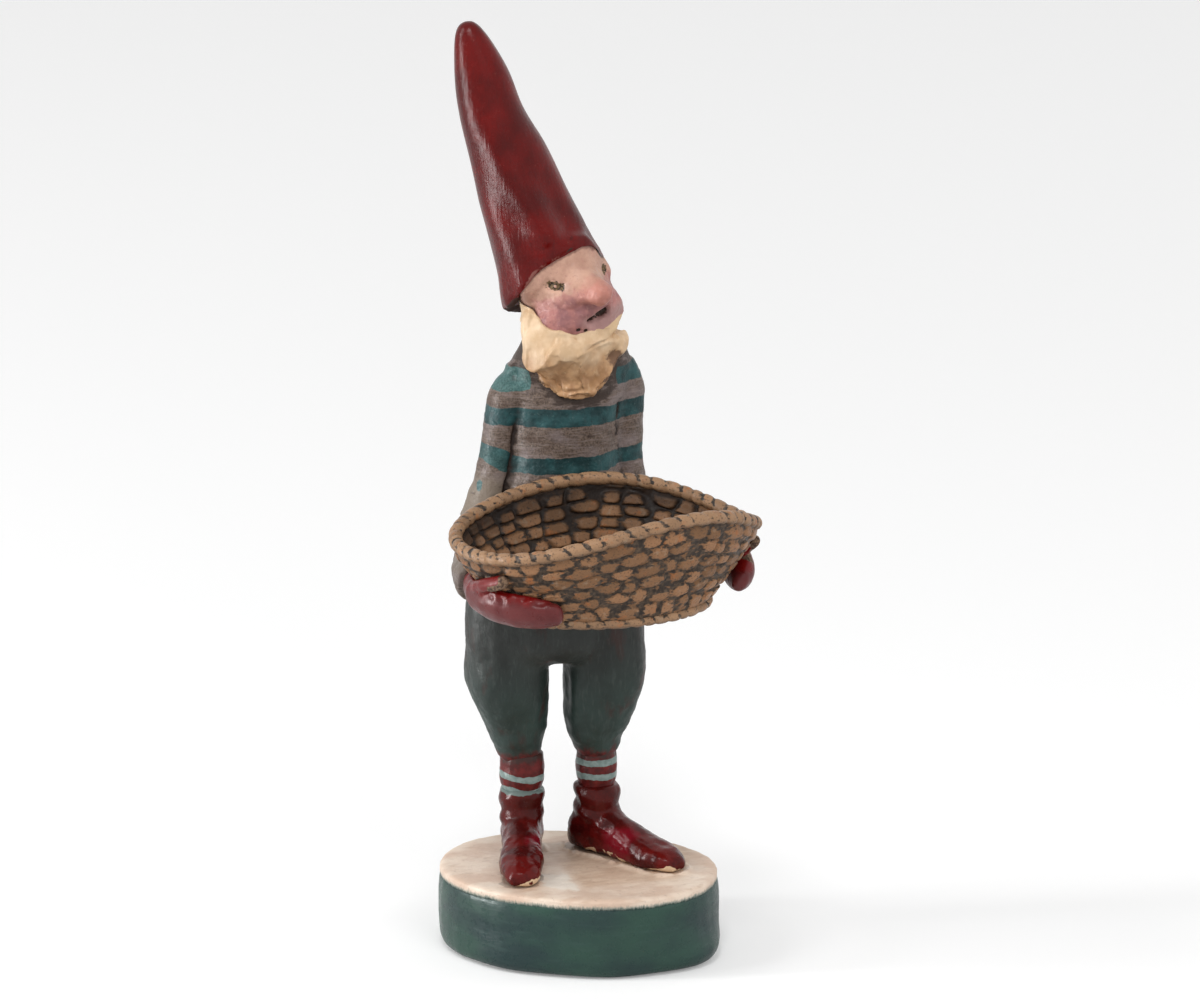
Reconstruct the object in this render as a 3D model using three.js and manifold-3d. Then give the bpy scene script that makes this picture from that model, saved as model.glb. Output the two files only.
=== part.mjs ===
// A standing elf figurine that carries an open basket, cast in separate pieces and pinned together.
// Millimetres, +Z up. The elf faces -Y and his right hand is at -X. The origin is at the middle of
// the underside of the base pad.

import * as THREE from 'three';
import { mergeVertices } from 'three/addons/utils/BufferGeometryUtils.js';
import Module from 'manifold-3d';

const wasm = await Module();
wasm.setup();

// Clearances
const seam = 0.35; // between two castings that are glued together
const boreFit = 0.3; // all round a rod or pin in its bore

// Plinth: an oval block, turned a little, with a thick top coat
const padThickness = 1;
const padInset = 5;
const padProud = 0.3;
const plinthLength = 72;
const plinthWidth = 58;
const plinthHeight = 19.2;
const plinthTurn = -35;
const plinthEdge = 2.4;
const snowThickness = 1.6;
const snowLap = 0.3;

// Boots and socks
const bootLength = 36.5;
const bootWidth = 11.2;
const bootHeight = 17.6;
const instepHeight = 13.5;
const heelSetback = 7.2;
const ankleWidth = 11.2;
const sockHeight = 8.4;
const rightFoot = { x: -10.8, y: 13.8, turn: -18, bow: 4.3 };
const leftFoot = { x: 8.5, y: 11.2, turn: 28, bow: 2.1 };

// Trousers
const inseam = 25.5;
const hipRise = 29.5;
const thighWidth = 21.4;
const hipWidth = 48.2;
const hipDepth = 27;
const waistWidth = 39;
const waistDepth = 27.5;
const hip = { x: -2.9, y: 11.4 };

// Jersey
const torsoHeight = 57.4;
const chestWidth = 30.6;
const chestDepth = 24.4;
const shoulderWidth = 33;
const collarWidth = 22;
const armWidth = 11.2;
const cuffWidth = 10.6;
const cuffLength = 9;
const elbowOut = 0.23; // of the arm's width
const elbowForward = 0.45;

// Head, in its own tilted frame
const headWidth = 23.6;
const headHeight = 29;
const headTurn = 9;
const headLean = 16.3;
const headBack = 7.5;
const neckOverlap = 12.2;
const faceTurn = 6;
const noseReach = 6;
const noseWidth = 6.4;
const mouthWidth = 6.4;
const rightEye = { turn: -32, z: 2.7 };
const leftEye = { turn: 43, z: 1.2 };

// Hat
const hatHeight = 71.5;
const brimWidth = 27.8;
const brimPitch = 32;

// Beard
const beardLength = 26;
const beardWidth = 26.4;

// Basket
const basketLength = 78.6;
const basketWidth = 58.8;
const basketHeight = 24.6;
const basketFootLength = 55;
const basketFootWidth = 39;
const basketWall = 2.2;
const rimDip = 3.6;
const rimSlope = 1.1;
const rimNod = 0.8;
const rimTwist = 1.4;
const rimSway = 1.2;
const rimRope = 3.4;
const footRope = 2.8;
const ropeLobe = 0.09;
const basketDrop = 4.2;

// Mittens: the stretch of basket wall that each one holds, in degrees round the basket
const mittenWidth = 10;
const mittenThickness = 7;
const thumbThickness = 3.6;
const gripLean = 26;
const rightGrip = { from: 160, to: 233, high: 6.9, low: 5.2, outward: 2.5 };
const leftGrip = { from: 34, to: -12, high: 9, low: 5.6, outward: 4.7 };
const rightThumb = { from: 188, to: 213, low: 9.6, high: 13.8, outward: 1.7 };
const leftThumb = { from: 5, to: -4, low: 10.4, high: 14.8, outward: 1.2 };

// Rods, dowels and pins
const legRodDiameter = 2.4;
const rodDepth = 10;
const dowelDiameter = 5;
const dowelLength = 14;
const pinDiameter = 1.6;
const pinLength = 8;
const basketPinDiameter = 1;
const basketPinLength = 3.6;

// Facets round a body, the basket wall and a pin
const bodySides = 18;
const wallSides = 44;
const pinSides = 12;

const degrees = THREE.MathUtils.degToRad;

/** Value at t between a and b, on the smooth curve through four neighbours. */
function curved(before, a, b, after, t) {
  const slopeA = (b - before) / 2;
  const slopeB = (after - a) / 2;
  return a + slopeA * t + (3 * (b - a) - 2 * slopeA - slopeB) * t ** 2
    + (2 * (a - b) + slopeA + slopeB) * t ** 3;
}

/** A station with every field at `place`, which counts stations from the first one. */
function stationAt(stations, place) {
  const last = stations.length - 1;
  const first = Math.min(Math.floor(place), last - 1);
  const near = (n) => stations[Math.min(Math.max(n, 0), last)];
  const station = {};
  for (const field of Object.keys(stations[0])) {
    const values = [-1, 0, 1, 2].map((n) => near(first + n)[field]);
    station[field] = curved(...values, place - first);
  }
  return station;
}

/** Stations at even steps along the smooth curve through the given ones. */
function fillIn(stations, perStretch) {
  const count = (stations.length - 1) * perStretch;
  return Array.from({ length: count + 1 }, (_, i) => stationAt(stations, i / perStretch));
}

/** The station of an upright body at one height. */
function stationAtHeight(stations, z) {
  let low = 0;
  let high = stations.length - 1;
  while (high - low > 0.001) {
    const middle = (low + high) / 2;
    if (stationAt(stations, middle).z < z) low = middle;
    else high = middle;
  }
  return stationAt(stations, low);
}

/** Points of an oval on two axes; a higher `square` fills its corners. */
function oval(centre, across, along, halfWidth, halfDepth, square = 2, sides = bodySides) {
  const bend = (value) => Math.sign(value) * Math.abs(value) ** (2 / square);
  return Array.from({ length: sides }, (_, i) => {
    const angle = (i / sides) * 2 * Math.PI;
    return centre.clone()
      .addScaledVector(across, halfWidth * bend(Math.cos(angle)))
      .addScaledVector(along, halfDepth * bend(Math.sin(angle)));
  });
}

function middleOf(ring) {
  const sum = new THREE.Vector3();
  for (const point of ring) sum.add(point);
  return sum.divideScalar(ring.length);
}

/** Extra rings and a tip that close one end of a body with a dome of the given reach. */
function dome(ring, direction, reach, steps = 3) {
  const centre = middleOf(ring);
  const rings = [];
  for (let i = 1; i < steps; i += 1) {
    const angle = (i / steps) * (Math.PI / 2);
    const middle = centre.clone().addScaledVector(direction, reach * Math.sin(angle));
    rings.push(ring.map((point) => point.clone().sub(centre)
      .multiplyScalar(Math.cos(angle)).add(middle)));
  }
  return { rings, tip: centre.clone().addScaledVector(direction, reach) };
}

/** Geometry from points and faces, its faces turned to point out of the body. */
function facingOut(points, faces) {
  let volume = 0;
  for (let i = 0; i < faces.length; i += 3) {
    const [a, b, c] = [faces[i], faces[i + 1], faces[i + 2]].map((n) => points[n]);
    volume += a.dot(b.clone().cross(c));
  }
  const geometry = new THREE.BufferGeometry().setFromPoints(points);
  geometry.setIndex(volume > 0 ? faces : faces.slice().reverse());
  return geometry;
}

/** Closed body over a row of rings, from one tip point to the other. */
function skin(rings, startTip = middleOf(rings[0]), endTip = middleOf(rings[rings.length - 1])) {
  const sides = rings[0].length;
  const points = [startTip, ...rings.flat(), endTip];
  const end = points.length - 1;
  const at = (row, side) => 1 + row * sides + (side % sides);
  const faces = [];
  for (let side = 0; side < sides; side += 1) {
    faces.push(0, at(0, side + 1), at(0, side));
    for (let row = 0; row < rings.length - 1; row += 1) {
      faces.push(at(row, side), at(row, side + 1), at(row + 1, side + 1));
      faces.push(at(row, side), at(row + 1, side + 1), at(row + 1, side));
    }
    faces.push(end, at(rings.length - 1, side), at(rings.length - 1, side + 1));
  }
  return facingOut(points, faces);
}

/** Body through rings, each end flat where its dome reach is 0. */
function capped(rings, startReach, endReach) {
  const last = rings.length - 1;
  const outward = (from, to) => middleOf(rings[to]).sub(middleOf(rings[from])).normalize();
  const start = startReach > 0 ? dome(rings[0], outward(1, 0), startReach) : { rings: [] };
  const end = endReach > 0 ? dome(rings[last], outward(last - 1, last), endReach) : { rings: [] };
  return skin([...start.rings.reverse(), ...rings, ...end.rings], start.tip, end.tip);
}

/** Upright body: stations have x, y, z, wide, deep, square and pitch, the tilt to the front. */
function upright(stations, { perStretch = 2, grow = 0, bottom = 0, top = 0 } = {}) {
  const rings = fillIn(stations, perStretch).map((s) => {
    const along = new THREE.Vector3(0, 1, -Math.tan(degrees(s.pitch ?? 0)));
    return oval(new THREE.Vector3(s.x, s.y, s.z), new THREE.Vector3(1, 0, 0), along,
      s.wide / 2 + grow, s.deep / 2 + grow, s.square ?? 2);
  });
  return capped(rings, bottom + grow, top + grow);
}

/** Body along a path: stations have x, y, z, wide, measured level, tall, square to it, and lean. */
function limb(stations, { perStretch = 2, grow = 0, start = 0, end = 0, sides = 14 } = {}) {
  const filled = fillIn(stations, perStretch);
  const centres = filled.map((s) => new THREE.Vector3(s.x, s.y, s.z));
  const rings = filled.map((s, i) => {
    const from = centres[Math.max(i - 1, 0)];
    const to = centres[Math.min(i + 1, centres.length - 1)];
    const ahead = to.clone().sub(from).normalize();
    const reference = Math.abs(ahead.z) > 0.9 ? new THREE.Vector3(0, 1, 0) : new THREE.Vector3(0, 0, 1);
    const side = reference.clone().cross(ahead).normalize();
    const over = ahead.clone().cross(side);
    for (const direction of [side, over]) direction.applyAxisAngle(ahead, degrees(-(s.lean ?? 0)));
    return oval(centres[i], side, over, s.wide / 2 + grow, s.tall / 2 + grow, 2, sides);
  });
  return capped(rings, start + grow, end + grow);
}

/** Round rod between two points. */
function rod(from, to, diameter, sides = pinSides) {
  const length = from.distanceTo(to);
  const turn = new THREE.Quaternion().setFromUnitVectors(
    new THREE.Vector3(0, 1, 0), to.clone().sub(from).normalize());
  const geometry = new THREE.CylinderGeometry(diameter / 2, diameter / 2, length, sides);
  const middle = from.clone().lerp(to, 0.5);
  return geometry.applyQuaternion(turn).translate(middle.x, middle.y, middle.z);
}

/** Hole for a rod: wider all round by the fit, and longer at each end. */
function bore(from, to, diameter, sides = pinSides) {
  const ahead = to.clone().sub(from).normalize().multiplyScalar(boreFit);
  return rod(from.clone().sub(ahead), to.clone().add(ahead), diameter + 2 * boreFit, sides);
}

/** Ball stretched to three half sizes. */
function egg(x, y, z, halfWidth, halfDepth, halfHeight, sides = 14) {
  const geometry = new THREE.SphereGeometry(1, sides, Math.round(sides * 0.6));
  geometry.rotateX(Math.PI / 2);
  return geometry.scale(halfWidth, halfDepth, halfHeight).translate(x, y, z);
}

/** Merged solid of a closed geometry, for cutting and joining. */
function toSolid(geometry) {
  const bare = geometry.clone();
  bare.deleteAttribute('normal');
  bare.deleteAttribute('uv');
  const merged = mergeVertices(bare, 1e-4);
  return new wasm.Manifold(new wasm.Mesh({
    numProp: 3,
    vertProperties: new Float32Array(merged.attributes.position.array),
    triVerts: new Uint32Array(merged.index.array),
  }));
}

function toGeometry(solid) {
  const mesh = solid.getMesh();
  const geometry = new THREE.BufferGeometry();
  geometry.setAttribute('position', new THREE.BufferAttribute(mesh.vertProperties, 3));
  geometry.setIndex(new THREE.BufferAttribute(mesh.triVerts, 1));
  return geometry;
}

function join(...geometries) {
  return toGeometry(geometries.map(toSolid).reduce((all, one) => all.add(one)));
}

function cut(geometry, ...tools) {
  return toGeometry(tools.map(toSolid).reduce((left, tool) => left.subtract(tool), toSolid(geometry)));
}

/** Copy of a geometry moved by a group's place and turn. */
function placedBy(group, geometry) {
  group.updateMatrix();
  return geometry.clone().applyMatrix4(group.matrix);
}

/** Copy of a geometry taken from the object's frame into a group's frame. */
function seenFrom(group, geometry) {
  group.updateMatrix();
  return geometry.clone().applyMatrix4(group.matrix.clone().invert());
}

const paints = {
  green: { color: 0x2d4842, roughness: 0.45 },
  cream: { color: 0xded0be, roughness: 0.7 },
  felt: { color: 0x2a2a28, roughness: 1 },
  red: { color: 0x6e1419, roughness: 0.28 },
  sock: { color: 0x78919a, roughness: 0.6 },
  cloth: { color: 0x343e3a, roughness: 0.6 },
  jersey: { color: 0x706258, roughness: 0.7 },
  skin: { color: 0xcda596, roughness: 0.55 },
  beard: { color: 0xdec496, roughness: 0.65 },
  wicker: { color: 0x8c694b, roughness: 0.6 },
  steel: { color: 0x9a9c9e, roughness: 0.35, metalness: 1 },
  wood: { color: 0xc8a878, roughness: 0.8 },
};

function piece(name, geometry, paint) {
  const material = new THREE.MeshStandardMaterial({ metalness: 0, ...paints[paint] });
  const mesh = new THREE.Mesh(geometry, material);
  mesh.name = name;
  return mesh;
}

// Heights, from the base pad up
const plinthBottom = padProud;
const plinthTop = plinthBottom + plinthHeight;
const snowTop = plinthTop + seam + snowThickness;
const sole = snowTop + seam;
const sockBottom = sole + bootHeight + seam;
const legBottom = sockBottom + sockHeight + seam;
const crotch = legBottom + inseam;
const waist = crotch + hipRise;
const torsoBottom = waist + seam;
const torsoTop = torsoBottom + torsoHeight;

// Plinth

/** Plinth outline at one height, drawn in by an inset. */
function plinthRing(z, inset) {
  const turn = degrees(plinthTurn);
  const across = new THREE.Vector3(Math.cos(turn), Math.sin(turn), 0);
  const along = new THREE.Vector3(-Math.sin(turn), Math.cos(turn), 0);
  return oval(new THREE.Vector3(0, 0, z), across, along,
    plinthLength / 2 - inset, plinthWidth / 2 - inset, 2.1, 40);
}

function makePlinth() {
  const rings = [0, 30, 60, 90].map((angle) => plinthRing(
    plinthBottom + plinthEdge * (1 - Math.cos(degrees(angle))),
    plinthEdge * (1 - Math.sin(degrees(angle)))));
  rings.push(plinthRing(plinthTop, 0));
  const recess = skin([plinthRing(0, padInset - seam), plinthRing(padThickness + seam, padInset - seam)]);
  return cut(skin(rings), recess);
}

function makeSnow() {
  const bottom = plinthTop + seam;
  return skin([
    plinthRing(bottom, -snowLap / 2),
    plinthRing(bottom + snowThickness / 2, -snowLap),
    plinthRing(snowTop - snowThickness / 6, snowLap / 2),
    plinthRing(snowTop, snowLap * 3),
  ]);
}

function makePad() {
  return skin([plinthRing(0, padInset), plinthRing(padThickness, padInset)]);
}

// Legs

function legRodEnds(foot) {
  return [
    new THREE.Vector3(foot.x, foot.y, plinthTop - rodDepth),
    new THREE.Vector3(foot.x, foot.y, crotch + rodDepth),
  ];
}

const legRods = [rightFoot, leftFoot].map((foot) => rod(...legRodEnds(foot), legRodDiameter));
const legBores = [rightFoot, leftFoot].map((foot) => bore(...legRodEnds(foot), legRodDiameter));

/** Boot with its ankle at the origin and its toe at -Y, standing on z = 0. */
function makeBoot() {
  const half = bootWidth / 2;
  const toe = heelSetback - bootLength;
  const lastStations = [
    { y: heelSetback, wide: 0.62 * half, tall: 0.5 * instepHeight },
    { y: heelSetback * 0.7, wide: 0.9 * half, tall: 0.82 * instepHeight },
    { y: 0, wide: 0.96 * half, tall: 0.96 * instepHeight },
    { y: toe * 0.3, wide: 0.86 * half, tall: 0.76 * instepHeight },
    { y: toe * 0.6, wide: half, tall: 0.52 * instepHeight },
    { y: toe * 0.87, wide: 0.86 * half, tall: 0.4 * instepHeight },
    { y: toe, wide: 0.46 * half, tall: 0.24 * instepHeight },
  ];
  const footRings = fillIn(lastStations, 2).map((s) => {
    const centre = new THREE.Vector3(0, s.y, 0.4 * s.tall);
    const across = new THREE.Vector3(-1, 0, 0);
    return oval(centre, across, new THREE.Vector3(0, 0, 1), s.wide, 0.6 * s.tall, 2.3, 14)
      .map((point) => point.setZ(Math.max(point.z, 0)));
  });
  const shaft = upright([
    { x: 0, y: 0, z: instepHeight * 0.4, wide: bootWidth * 0.92, deep: bootWidth * 1.06 },
    { x: 0, y: -0.1, z: bootHeight * 0.7, wide: bootWidth * 0.98, deep: bootWidth * 1.08 },
    { x: 0, y: 0, z: bootHeight, wide: bootWidth, deep: bootWidth },
  ]);
  return join(skin(footRings), shaft);
}

function makeSock() {
  return upright([
    { x: 0, y: 0, z: 0, wide: ankleWidth * 0.96, deep: ankleWidth * 0.96 },
    { x: 0, y: 0, z: sockHeight / 2, wide: ankleWidth * 1.02, deep: ankleWidth * 1.02 },
    { x: 0, y: 0, z: sockHeight, wide: ankleWidth * 0.96, deep: ankleWidth * 0.96 },
  ]);
}

/** One foot's boot and sock in a group that stands at the ankle. */
function makeFoot(side, foot, rodBore) {
  const bootGroup = new THREE.Group();
  bootGroup.position.set(foot.x, foot.y, sole);
  bootGroup.rotation.z = degrees(foot.turn);
  bootGroup.add(piece(`${side}_boot`, cut(makeBoot(), seenFrom(bootGroup, rodBore)), 'red'));
  const sockGroup = new THREE.Group();
  sockGroup.position.set(foot.x, foot.y, sockBottom);
  sockGroup.add(piece(`${side}_sock`, cut(makeSock(), seenFrom(sockGroup, rodBore)), 'sock'));
  return [bootGroup, sockGroup];
}

function legShape(foot) {
  const bow = foot.bow * Math.sign(foot.x);
  return upright([
    { x: foot.x, y: foot.y, z: legBottom, wide: ankleWidth * 0.98, deep: ankleWidth },
    { x: foot.x + 0.25 * bow, y: foot.y - 0.2, z: legBottom + inseam * 0.3,
      wide: thighWidth * 0.7, deep: thighWidth * 0.74 },
    { x: foot.x + 0.75 * bow, y: foot.y - 0.5, z: legBottom + inseam * 0.65,
      wide: thighWidth * 0.92, deep: thighWidth * 0.96 },
    { x: foot.x + bow, y: foot.y - 0.5, z: crotch, wide: thighWidth, deep: thighWidth * 1.08 },
    { x: foot.x + bow, y: foot.y - 0.5, z: crotch + hipRise * 0.5,
      wide: thighWidth * 0.88, deep: thighWidth },
  ]);
}

const hipStations = [
  { x: hip.x, y: hip.y, z: crotch, wide: hipWidth * 0.72, deep: hipDepth * 0.6 },
  { x: hip.x, y: hip.y, z: crotch + hipRise * 0.12, wide: hipWidth * 0.96, deep: hipDepth * 0.92 },
  { x: hip.x, y: hip.y, z: crotch + hipRise * 0.3, wide: hipWidth, deep: hipDepth },
  { x: hip.x, y: hip.y, z: crotch + hipRise * 0.65, wide: hipWidth * 0.97, deep: hipDepth },
  { x: hip.x, y: hip.y, z: waist, wide: waistWidth, deep: waistDepth },
];

function trousersShape(grow = 0) {
  const hips = upright(hipStations, { grow });
  if (grow > 0) return hips;
  return join(hips, legShape(rightFoot), legShape(leftFoot));
}

// Jersey

const torsoStations = [
  { x: hip.x + 0.3, y: hip.y - 0.5, z: torsoBottom, wide: waistWidth + 1.4, deep: waistDepth + 1.4 },
  { x: hip.x + 0.5, y: hip.y - 1, z: torsoBottom + torsoHeight * 0.12,
    wide: waistWidth * 0.95, deep: waistDepth * 1.03 },
  { x: hip.x + 0.8, y: hip.y - 1.6, z: torsoBottom + torsoHeight * 0.27,
    wide: chestWidth * 1.06, deep: chestDepth * 1.1 },
  { x: hip.x + 1.4, y: hip.y - 2, z: torsoBottom + torsoHeight * 0.43, wide: chestWidth, deep: chestDepth },
  { x: hip.x + 2.2, y: hip.y - 2, z: torsoBottom + torsoHeight * 0.62,
    wide: chestWidth * 1.03, deep: chestDepth * 0.98 },
  { x: hip.x + 3.6, y: hip.y - 2, z: torsoBottom + torsoHeight * 0.78,
    wide: shoulderWidth, deep: chestDepth * 0.86 },
  { x: hip.x + 4.1, y: hip.y - 2, z: torsoBottom + torsoHeight * 0.88,
    wide: shoulderWidth * 0.92, deep: chestDepth * 0.78 },
  { x: hip.x + 3.3, y: hip.y - 2, z: torsoTop - 1.6, wide: collarWidth, deep: chestDepth * 0.68 },
];

function torsoShape(grow = 0) {
  return upright(torsoStations, { grow, top: 1.6 });
}

const neckBase = torsoStations[torsoStations.length - 1];

// Basket, in its own frame with the origin under the middle of its foot

const wallBottom = footRope + seam;

/** Height of the wall's top edge at one angle: a hand-made saddle, low at the ends. */
function wallTop(angle) {
  const level = basketHeight - rimRope - seam;
  const ends = rimSlope * Math.cos(angle) - rimNod * Math.sin(angle);
  const saddle = -rimDip * Math.cos(2 * angle) - rimTwist * Math.sin(2 * angle);
  return level + ends + saddle - rimSway * Math.cos(3 * angle);
}

/** Point on the outside of the wall, at a share of its height, moved in by an inset. */
function wallPoint(angle, share, inset = 0) {
  const flare = share ** 0.9;
  const halfLength = THREE.MathUtils.lerp(basketFootLength, basketLength, flare) / 2 - inset;
  const halfWidth = THREE.MathUtils.lerp(basketFootWidth, basketWidth, flare) / 2 - inset;
  return new THREE.Vector3(halfLength * Math.cos(angle), halfWidth * Math.sin(angle),
    wallBottom + share * (wallTop(angle) - wallBottom));
}

/** Point on the outside of the wall at a height above the basket's foot. */
function wallPointAtHeight(angle, height, inset = 0) {
  const share = (height - wallBottom) / (wallTop(angle) - wallBottom);
  return wallPoint(angle, THREE.MathUtils.clamp(share, 0, 1), inset);
}

function wallRing(share, inset, lift = 0) {
  return Array.from({ length: wallSides }, (_, i) => {
    const point = wallPoint((i / wallSides) * 2 * Math.PI, share, inset);
    return point.setZ(point.z + lift);
  });
}

const wallShares = [0, 0.15, 0.4, 0.7, 1];

/** Open shell: up the outside, over the top edge and down the inside to the floor. */
function makeBasketShell() {
  const outside = wallShares.map((share) => wallRing(share, 0));
  const inside = wallShares.map((share) => wallRing(share, basketWall, basketWall * (1 - share)));
  return skin([...outside, ...inside.reverse()]);
}

/** The basket and its ropes as one filled block, wider by `grow`, to cut what touches it. */
function basketBlock(grow) {
  const rings = wallShares.map((share) => wallRing(share, -grow));
  const over = rimRope + seam + grow;
  return skin([
    wallRing(0, -grow, -wallBottom - grow),
    ...rings,
    wallRing(1, -grow - rimRope / 2, seam),
    wallRing(1, -grow - rimRope / 2, over),
  ]);
}

/** Twisted rope on a closed path: strands that turn round each other. */
function rope(pathAt, diameter, strands, twists, steps, sides) {
  const points = [];
  for (let row = 0; row < steps; row += 1) {
    const angle = (row / steps) * 2 * Math.PI;
    const centre = pathAt(angle);
    const ahead = pathAt(angle + 0.01).sub(pathAt(angle - 0.01)).normalize();
    const side = new THREE.Vector3(0, 0, 1).cross(ahead).normalize();
    const over = ahead.clone().cross(side);
    for (let k = 0; k < sides; k += 1) {
      const around = (k / sides) * 2 * Math.PI;
      const lobe = Math.cos(strands * around - twists * angle);
      const radius = (diameter / 2) * (1 + ropeLobe * (lobe - 1));
      points.push(centre.clone()
        .addScaledVector(side, radius * Math.cos(around))
        .addScaledVector(over, radius * Math.sin(around)));
    }
  }
  const at = (row, k) => (row % steps) * sides + (k % sides);
  const faces = [];
  for (let row = 0; row < steps; row += 1) {
    for (let k = 0; k < sides; k += 1) {
      faces.push(at(row, k), at(row, k + 1), at(row + 1, k + 1));
      faces.push(at(row, k), at(row + 1, k + 1), at(row + 1, k));
    }
  }
  return facingOut(points, faces);
}

function makeRimRope() {
  const path = (angle) => {
    const point = wallPoint(angle, 1, basketWall / 2);
    return point.setZ(point.z + seam + rimRope / 2);
  };
  return rope(path, rimRope, 2, 36, 108, 6);
}

function makeFootRope() {
  const path = (angle) => wallPoint(angle, 0, footRope / 2).setZ(footRope / 2);
  return rope(path, footRope, 2, 24, 72, 6);
}

// Where the basket stands: its back rim rests against the jersey
const basketFoot = waist - basketDrop;
const bellyTouch = stationAtHeight(torsoStations, basketFoot + wallTop(Math.PI / 2) + rimRope / 2);
const basketGroup = new THREE.Group();
basketGroup.position.set(
  bellyTouch.x - 1.8,
  bellyTouch.y - bellyTouch.deep / 2 - seam - (basketWidth + rimRope - basketWall) / 2,
  basketFoot);

// Mittens and sleeves

/** Point beside the basket wall, in the object's frame. */
function besideWall(angle, height, outward) {
  return wallPointAtHeight(degrees(angle), height, -outward).add(basketGroup.position);
}

/** Path of a mitten along the wall, from the wrist to the fingertips. */
function mittenStations(grip) {
  const shape = [
    { at: 0, wide: 0.78, tall: 0.7 },
    { at: 0.3, wide: 0.96, tall: 0.94 },
    { at: 0.6, wide: 1, tall: 1 },
    { at: 0.85, wide: 0.9, tall: 0.92 },
    { at: 1, wide: 0.6, tall: 0.62 },
  ];
  return shape.map(({ at, wide, tall }) => {
    const angle = THREE.MathUtils.lerp(grip.from, grip.to, at);
    const height = THREE.MathUtils.lerp(grip.high, grip.low, at);
    const { x, y, z } = besideWall(angle, height, grip.outward);
    const lean = gripLean * Math.sign(grip.from - grip.to);
    return { x, y, z, wide: wide * mittenThickness, tall: tall * mittenWidth, lean };
  });
}

function thumbStations(thumb) {
  return [0, 0.5, 1].map((at) => {
    const angle = THREE.MathUtils.lerp(thumb.from, thumb.to, at);
    const height = THREE.MathUtils.lerp(thumb.low, thumb.high, at);
    const { x, y, z } = besideWall(angle, height, thumb.outward);
    return { x, y, z, wide: thumbThickness, tall: thumbThickness };
  });
}

/** Where a hand starts at the wrist, and the way it points there. */
function wristOf(grip) {
  const stations = mittenStations(grip).map(({ x, y, z }) => new THREE.Vector3(x, y, z));
  return { point: stations[0], ahead: stations[1].clone().sub(stations[0]).normalize() };
}

function sleeveStations(side, grip) {
  const outward = side === 'right' ? -1 : 1;
  const wrist = wristOf(grip);
  const beside = (share, out, back) => {
    const torso = stationAtHeight(torsoStations, torsoBottom + share * torsoHeight);
    return {
      x: torso.x + outward * (torso.wide / 2 + out * armWidth), y: torso.y + back * armWidth, z: torso.z,
    };
  };
  const behindWrist = (distance) => {
    const { x, y, z } = wrist.point.clone().addScaledVector(wrist.ahead, -distance);
    return { x, y, z };
  };
  const cuff = behindWrist(seam);
  const forearm = behindWrist(cuffLength);
  const elbow = beside(0.03, elbowOut, -elbowForward);
  return [
    { ...beside(0.8, -0.27, 0), wide: armWidth * 0.84, tall: armWidth * 0.84 },
    { ...beside(0.7, -0.09, 0), wide: armWidth * 0.98, tall: armWidth * 0.98 },
    { ...beside(0.5, 0.02, 0.03), wide: armWidth, tall: armWidth },
    { ...beside(0.32, 0.11, 0), wide: armWidth, tall: armWidth },
    { ...beside(0.14, 0.23, -0.09), wide: armWidth * 1.02, tall: armWidth * 1.04 },
    { ...elbow, wide: armWidth * 1.04, tall: armWidth * 1.04 },
    { ...forearm, wide: cuffWidth * 0.96, tall: cuffWidth * 0.98 },
    { ...cuff, wide: cuffWidth, tall: cuffWidth * 1.04 },
  ];
}

function sleeveShape(side, grip, grow = 0) {
  return limb(sleeveStations(side, grip), { grow, start: armWidth * 0.3, perStretch: 2 });
}

/** Ends of the pin that joins a mitten to its sleeve. */
function wristPinEnds(grip) {
  const { point, ahead } = wristOf(grip);
  return [
    point.clone().addScaledVector(ahead, -pinLength / 2),
    point.clone().addScaledVector(ahead, pinLength / 2),
  ];
}

/** Ends of the pin that joins a sleeve to the side of the trunk. */
function shoulderPinEnds(side) {
  const outward = side === 'right' ? -1 : 1;
  const torso = stationAtHeight(torsoStations, torsoBottom + 0.5 * torsoHeight);
  const surface = torso.x + outward * torso.wide / 2;
  const inner = surface - outward * pinLength * 0.62;
  const outer = surface + outward * pinLength * 0.38;
  return [new THREE.Vector3(inner, torso.y, torso.z), new THREE.Vector3(outer, torso.y, torso.z)];
}

/** Ends of the pin that joins the basket wall to a mitten. */
function basketPinEnds(grip) {
  const angle = (grip.from + grip.to) / 2;
  const height = (grip.high + grip.low) / 2;
  const inWall = basketWall * 0.7;
  return [
    besideWall(angle, height, -inWall),
    besideWall(angle, height, basketPinLength - inWall),
  ];
}

/** One arm: sleeve, mitten and the three pins that hold them. */
function makeArm(side, grip, thumb) {
  const wristBore = bore(...wristPinEnds(grip), pinDiameter);
  const shoulderBore = bore(...shoulderPinEnds(side), pinDiameter);
  const basketBore = bore(...basketPinEnds(grip), basketPinDiameter);
  const block = placedBy(basketGroup, basketBlock(seam));
  const sleeve = cut(sleeveShape(side, grip),
    torsoShape(seam), trousersShape(seam), block, wristBore, shoulderBore);
  const hand = limb(mittenStations(grip), { end: mittenThickness * 0.3 });
  const thumbBody = limb(thumbStations(thumb),
    { start: thumbThickness / 2, end: thumbThickness / 2, sides: 10 });
  const mitten = cut(join(hand, thumbBody),
    block, sleeveShape(side, grip, seam), wristBore, basketBore);
  return [
    piece(`${side}_sleeve`, sleeve, 'jersey'),
    piece(`${side}_mitten`, mitten, 'red'),
    piece(`${side}_shoulder_pin`, rod(...shoulderPinEnds(side), pinDiameter), 'steel'),
    piece(`${side}_wrist_pin`, rod(...wristPinEnds(grip), pinDiameter), 'steel'),
    piece(`${side}_basket_pin`, rod(...basketPinEnds(grip), basketPinDiameter), 'steel'),
  ];
}

// Head, in its own frame: the origin is inside the skull, the face looks along -Y

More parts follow.
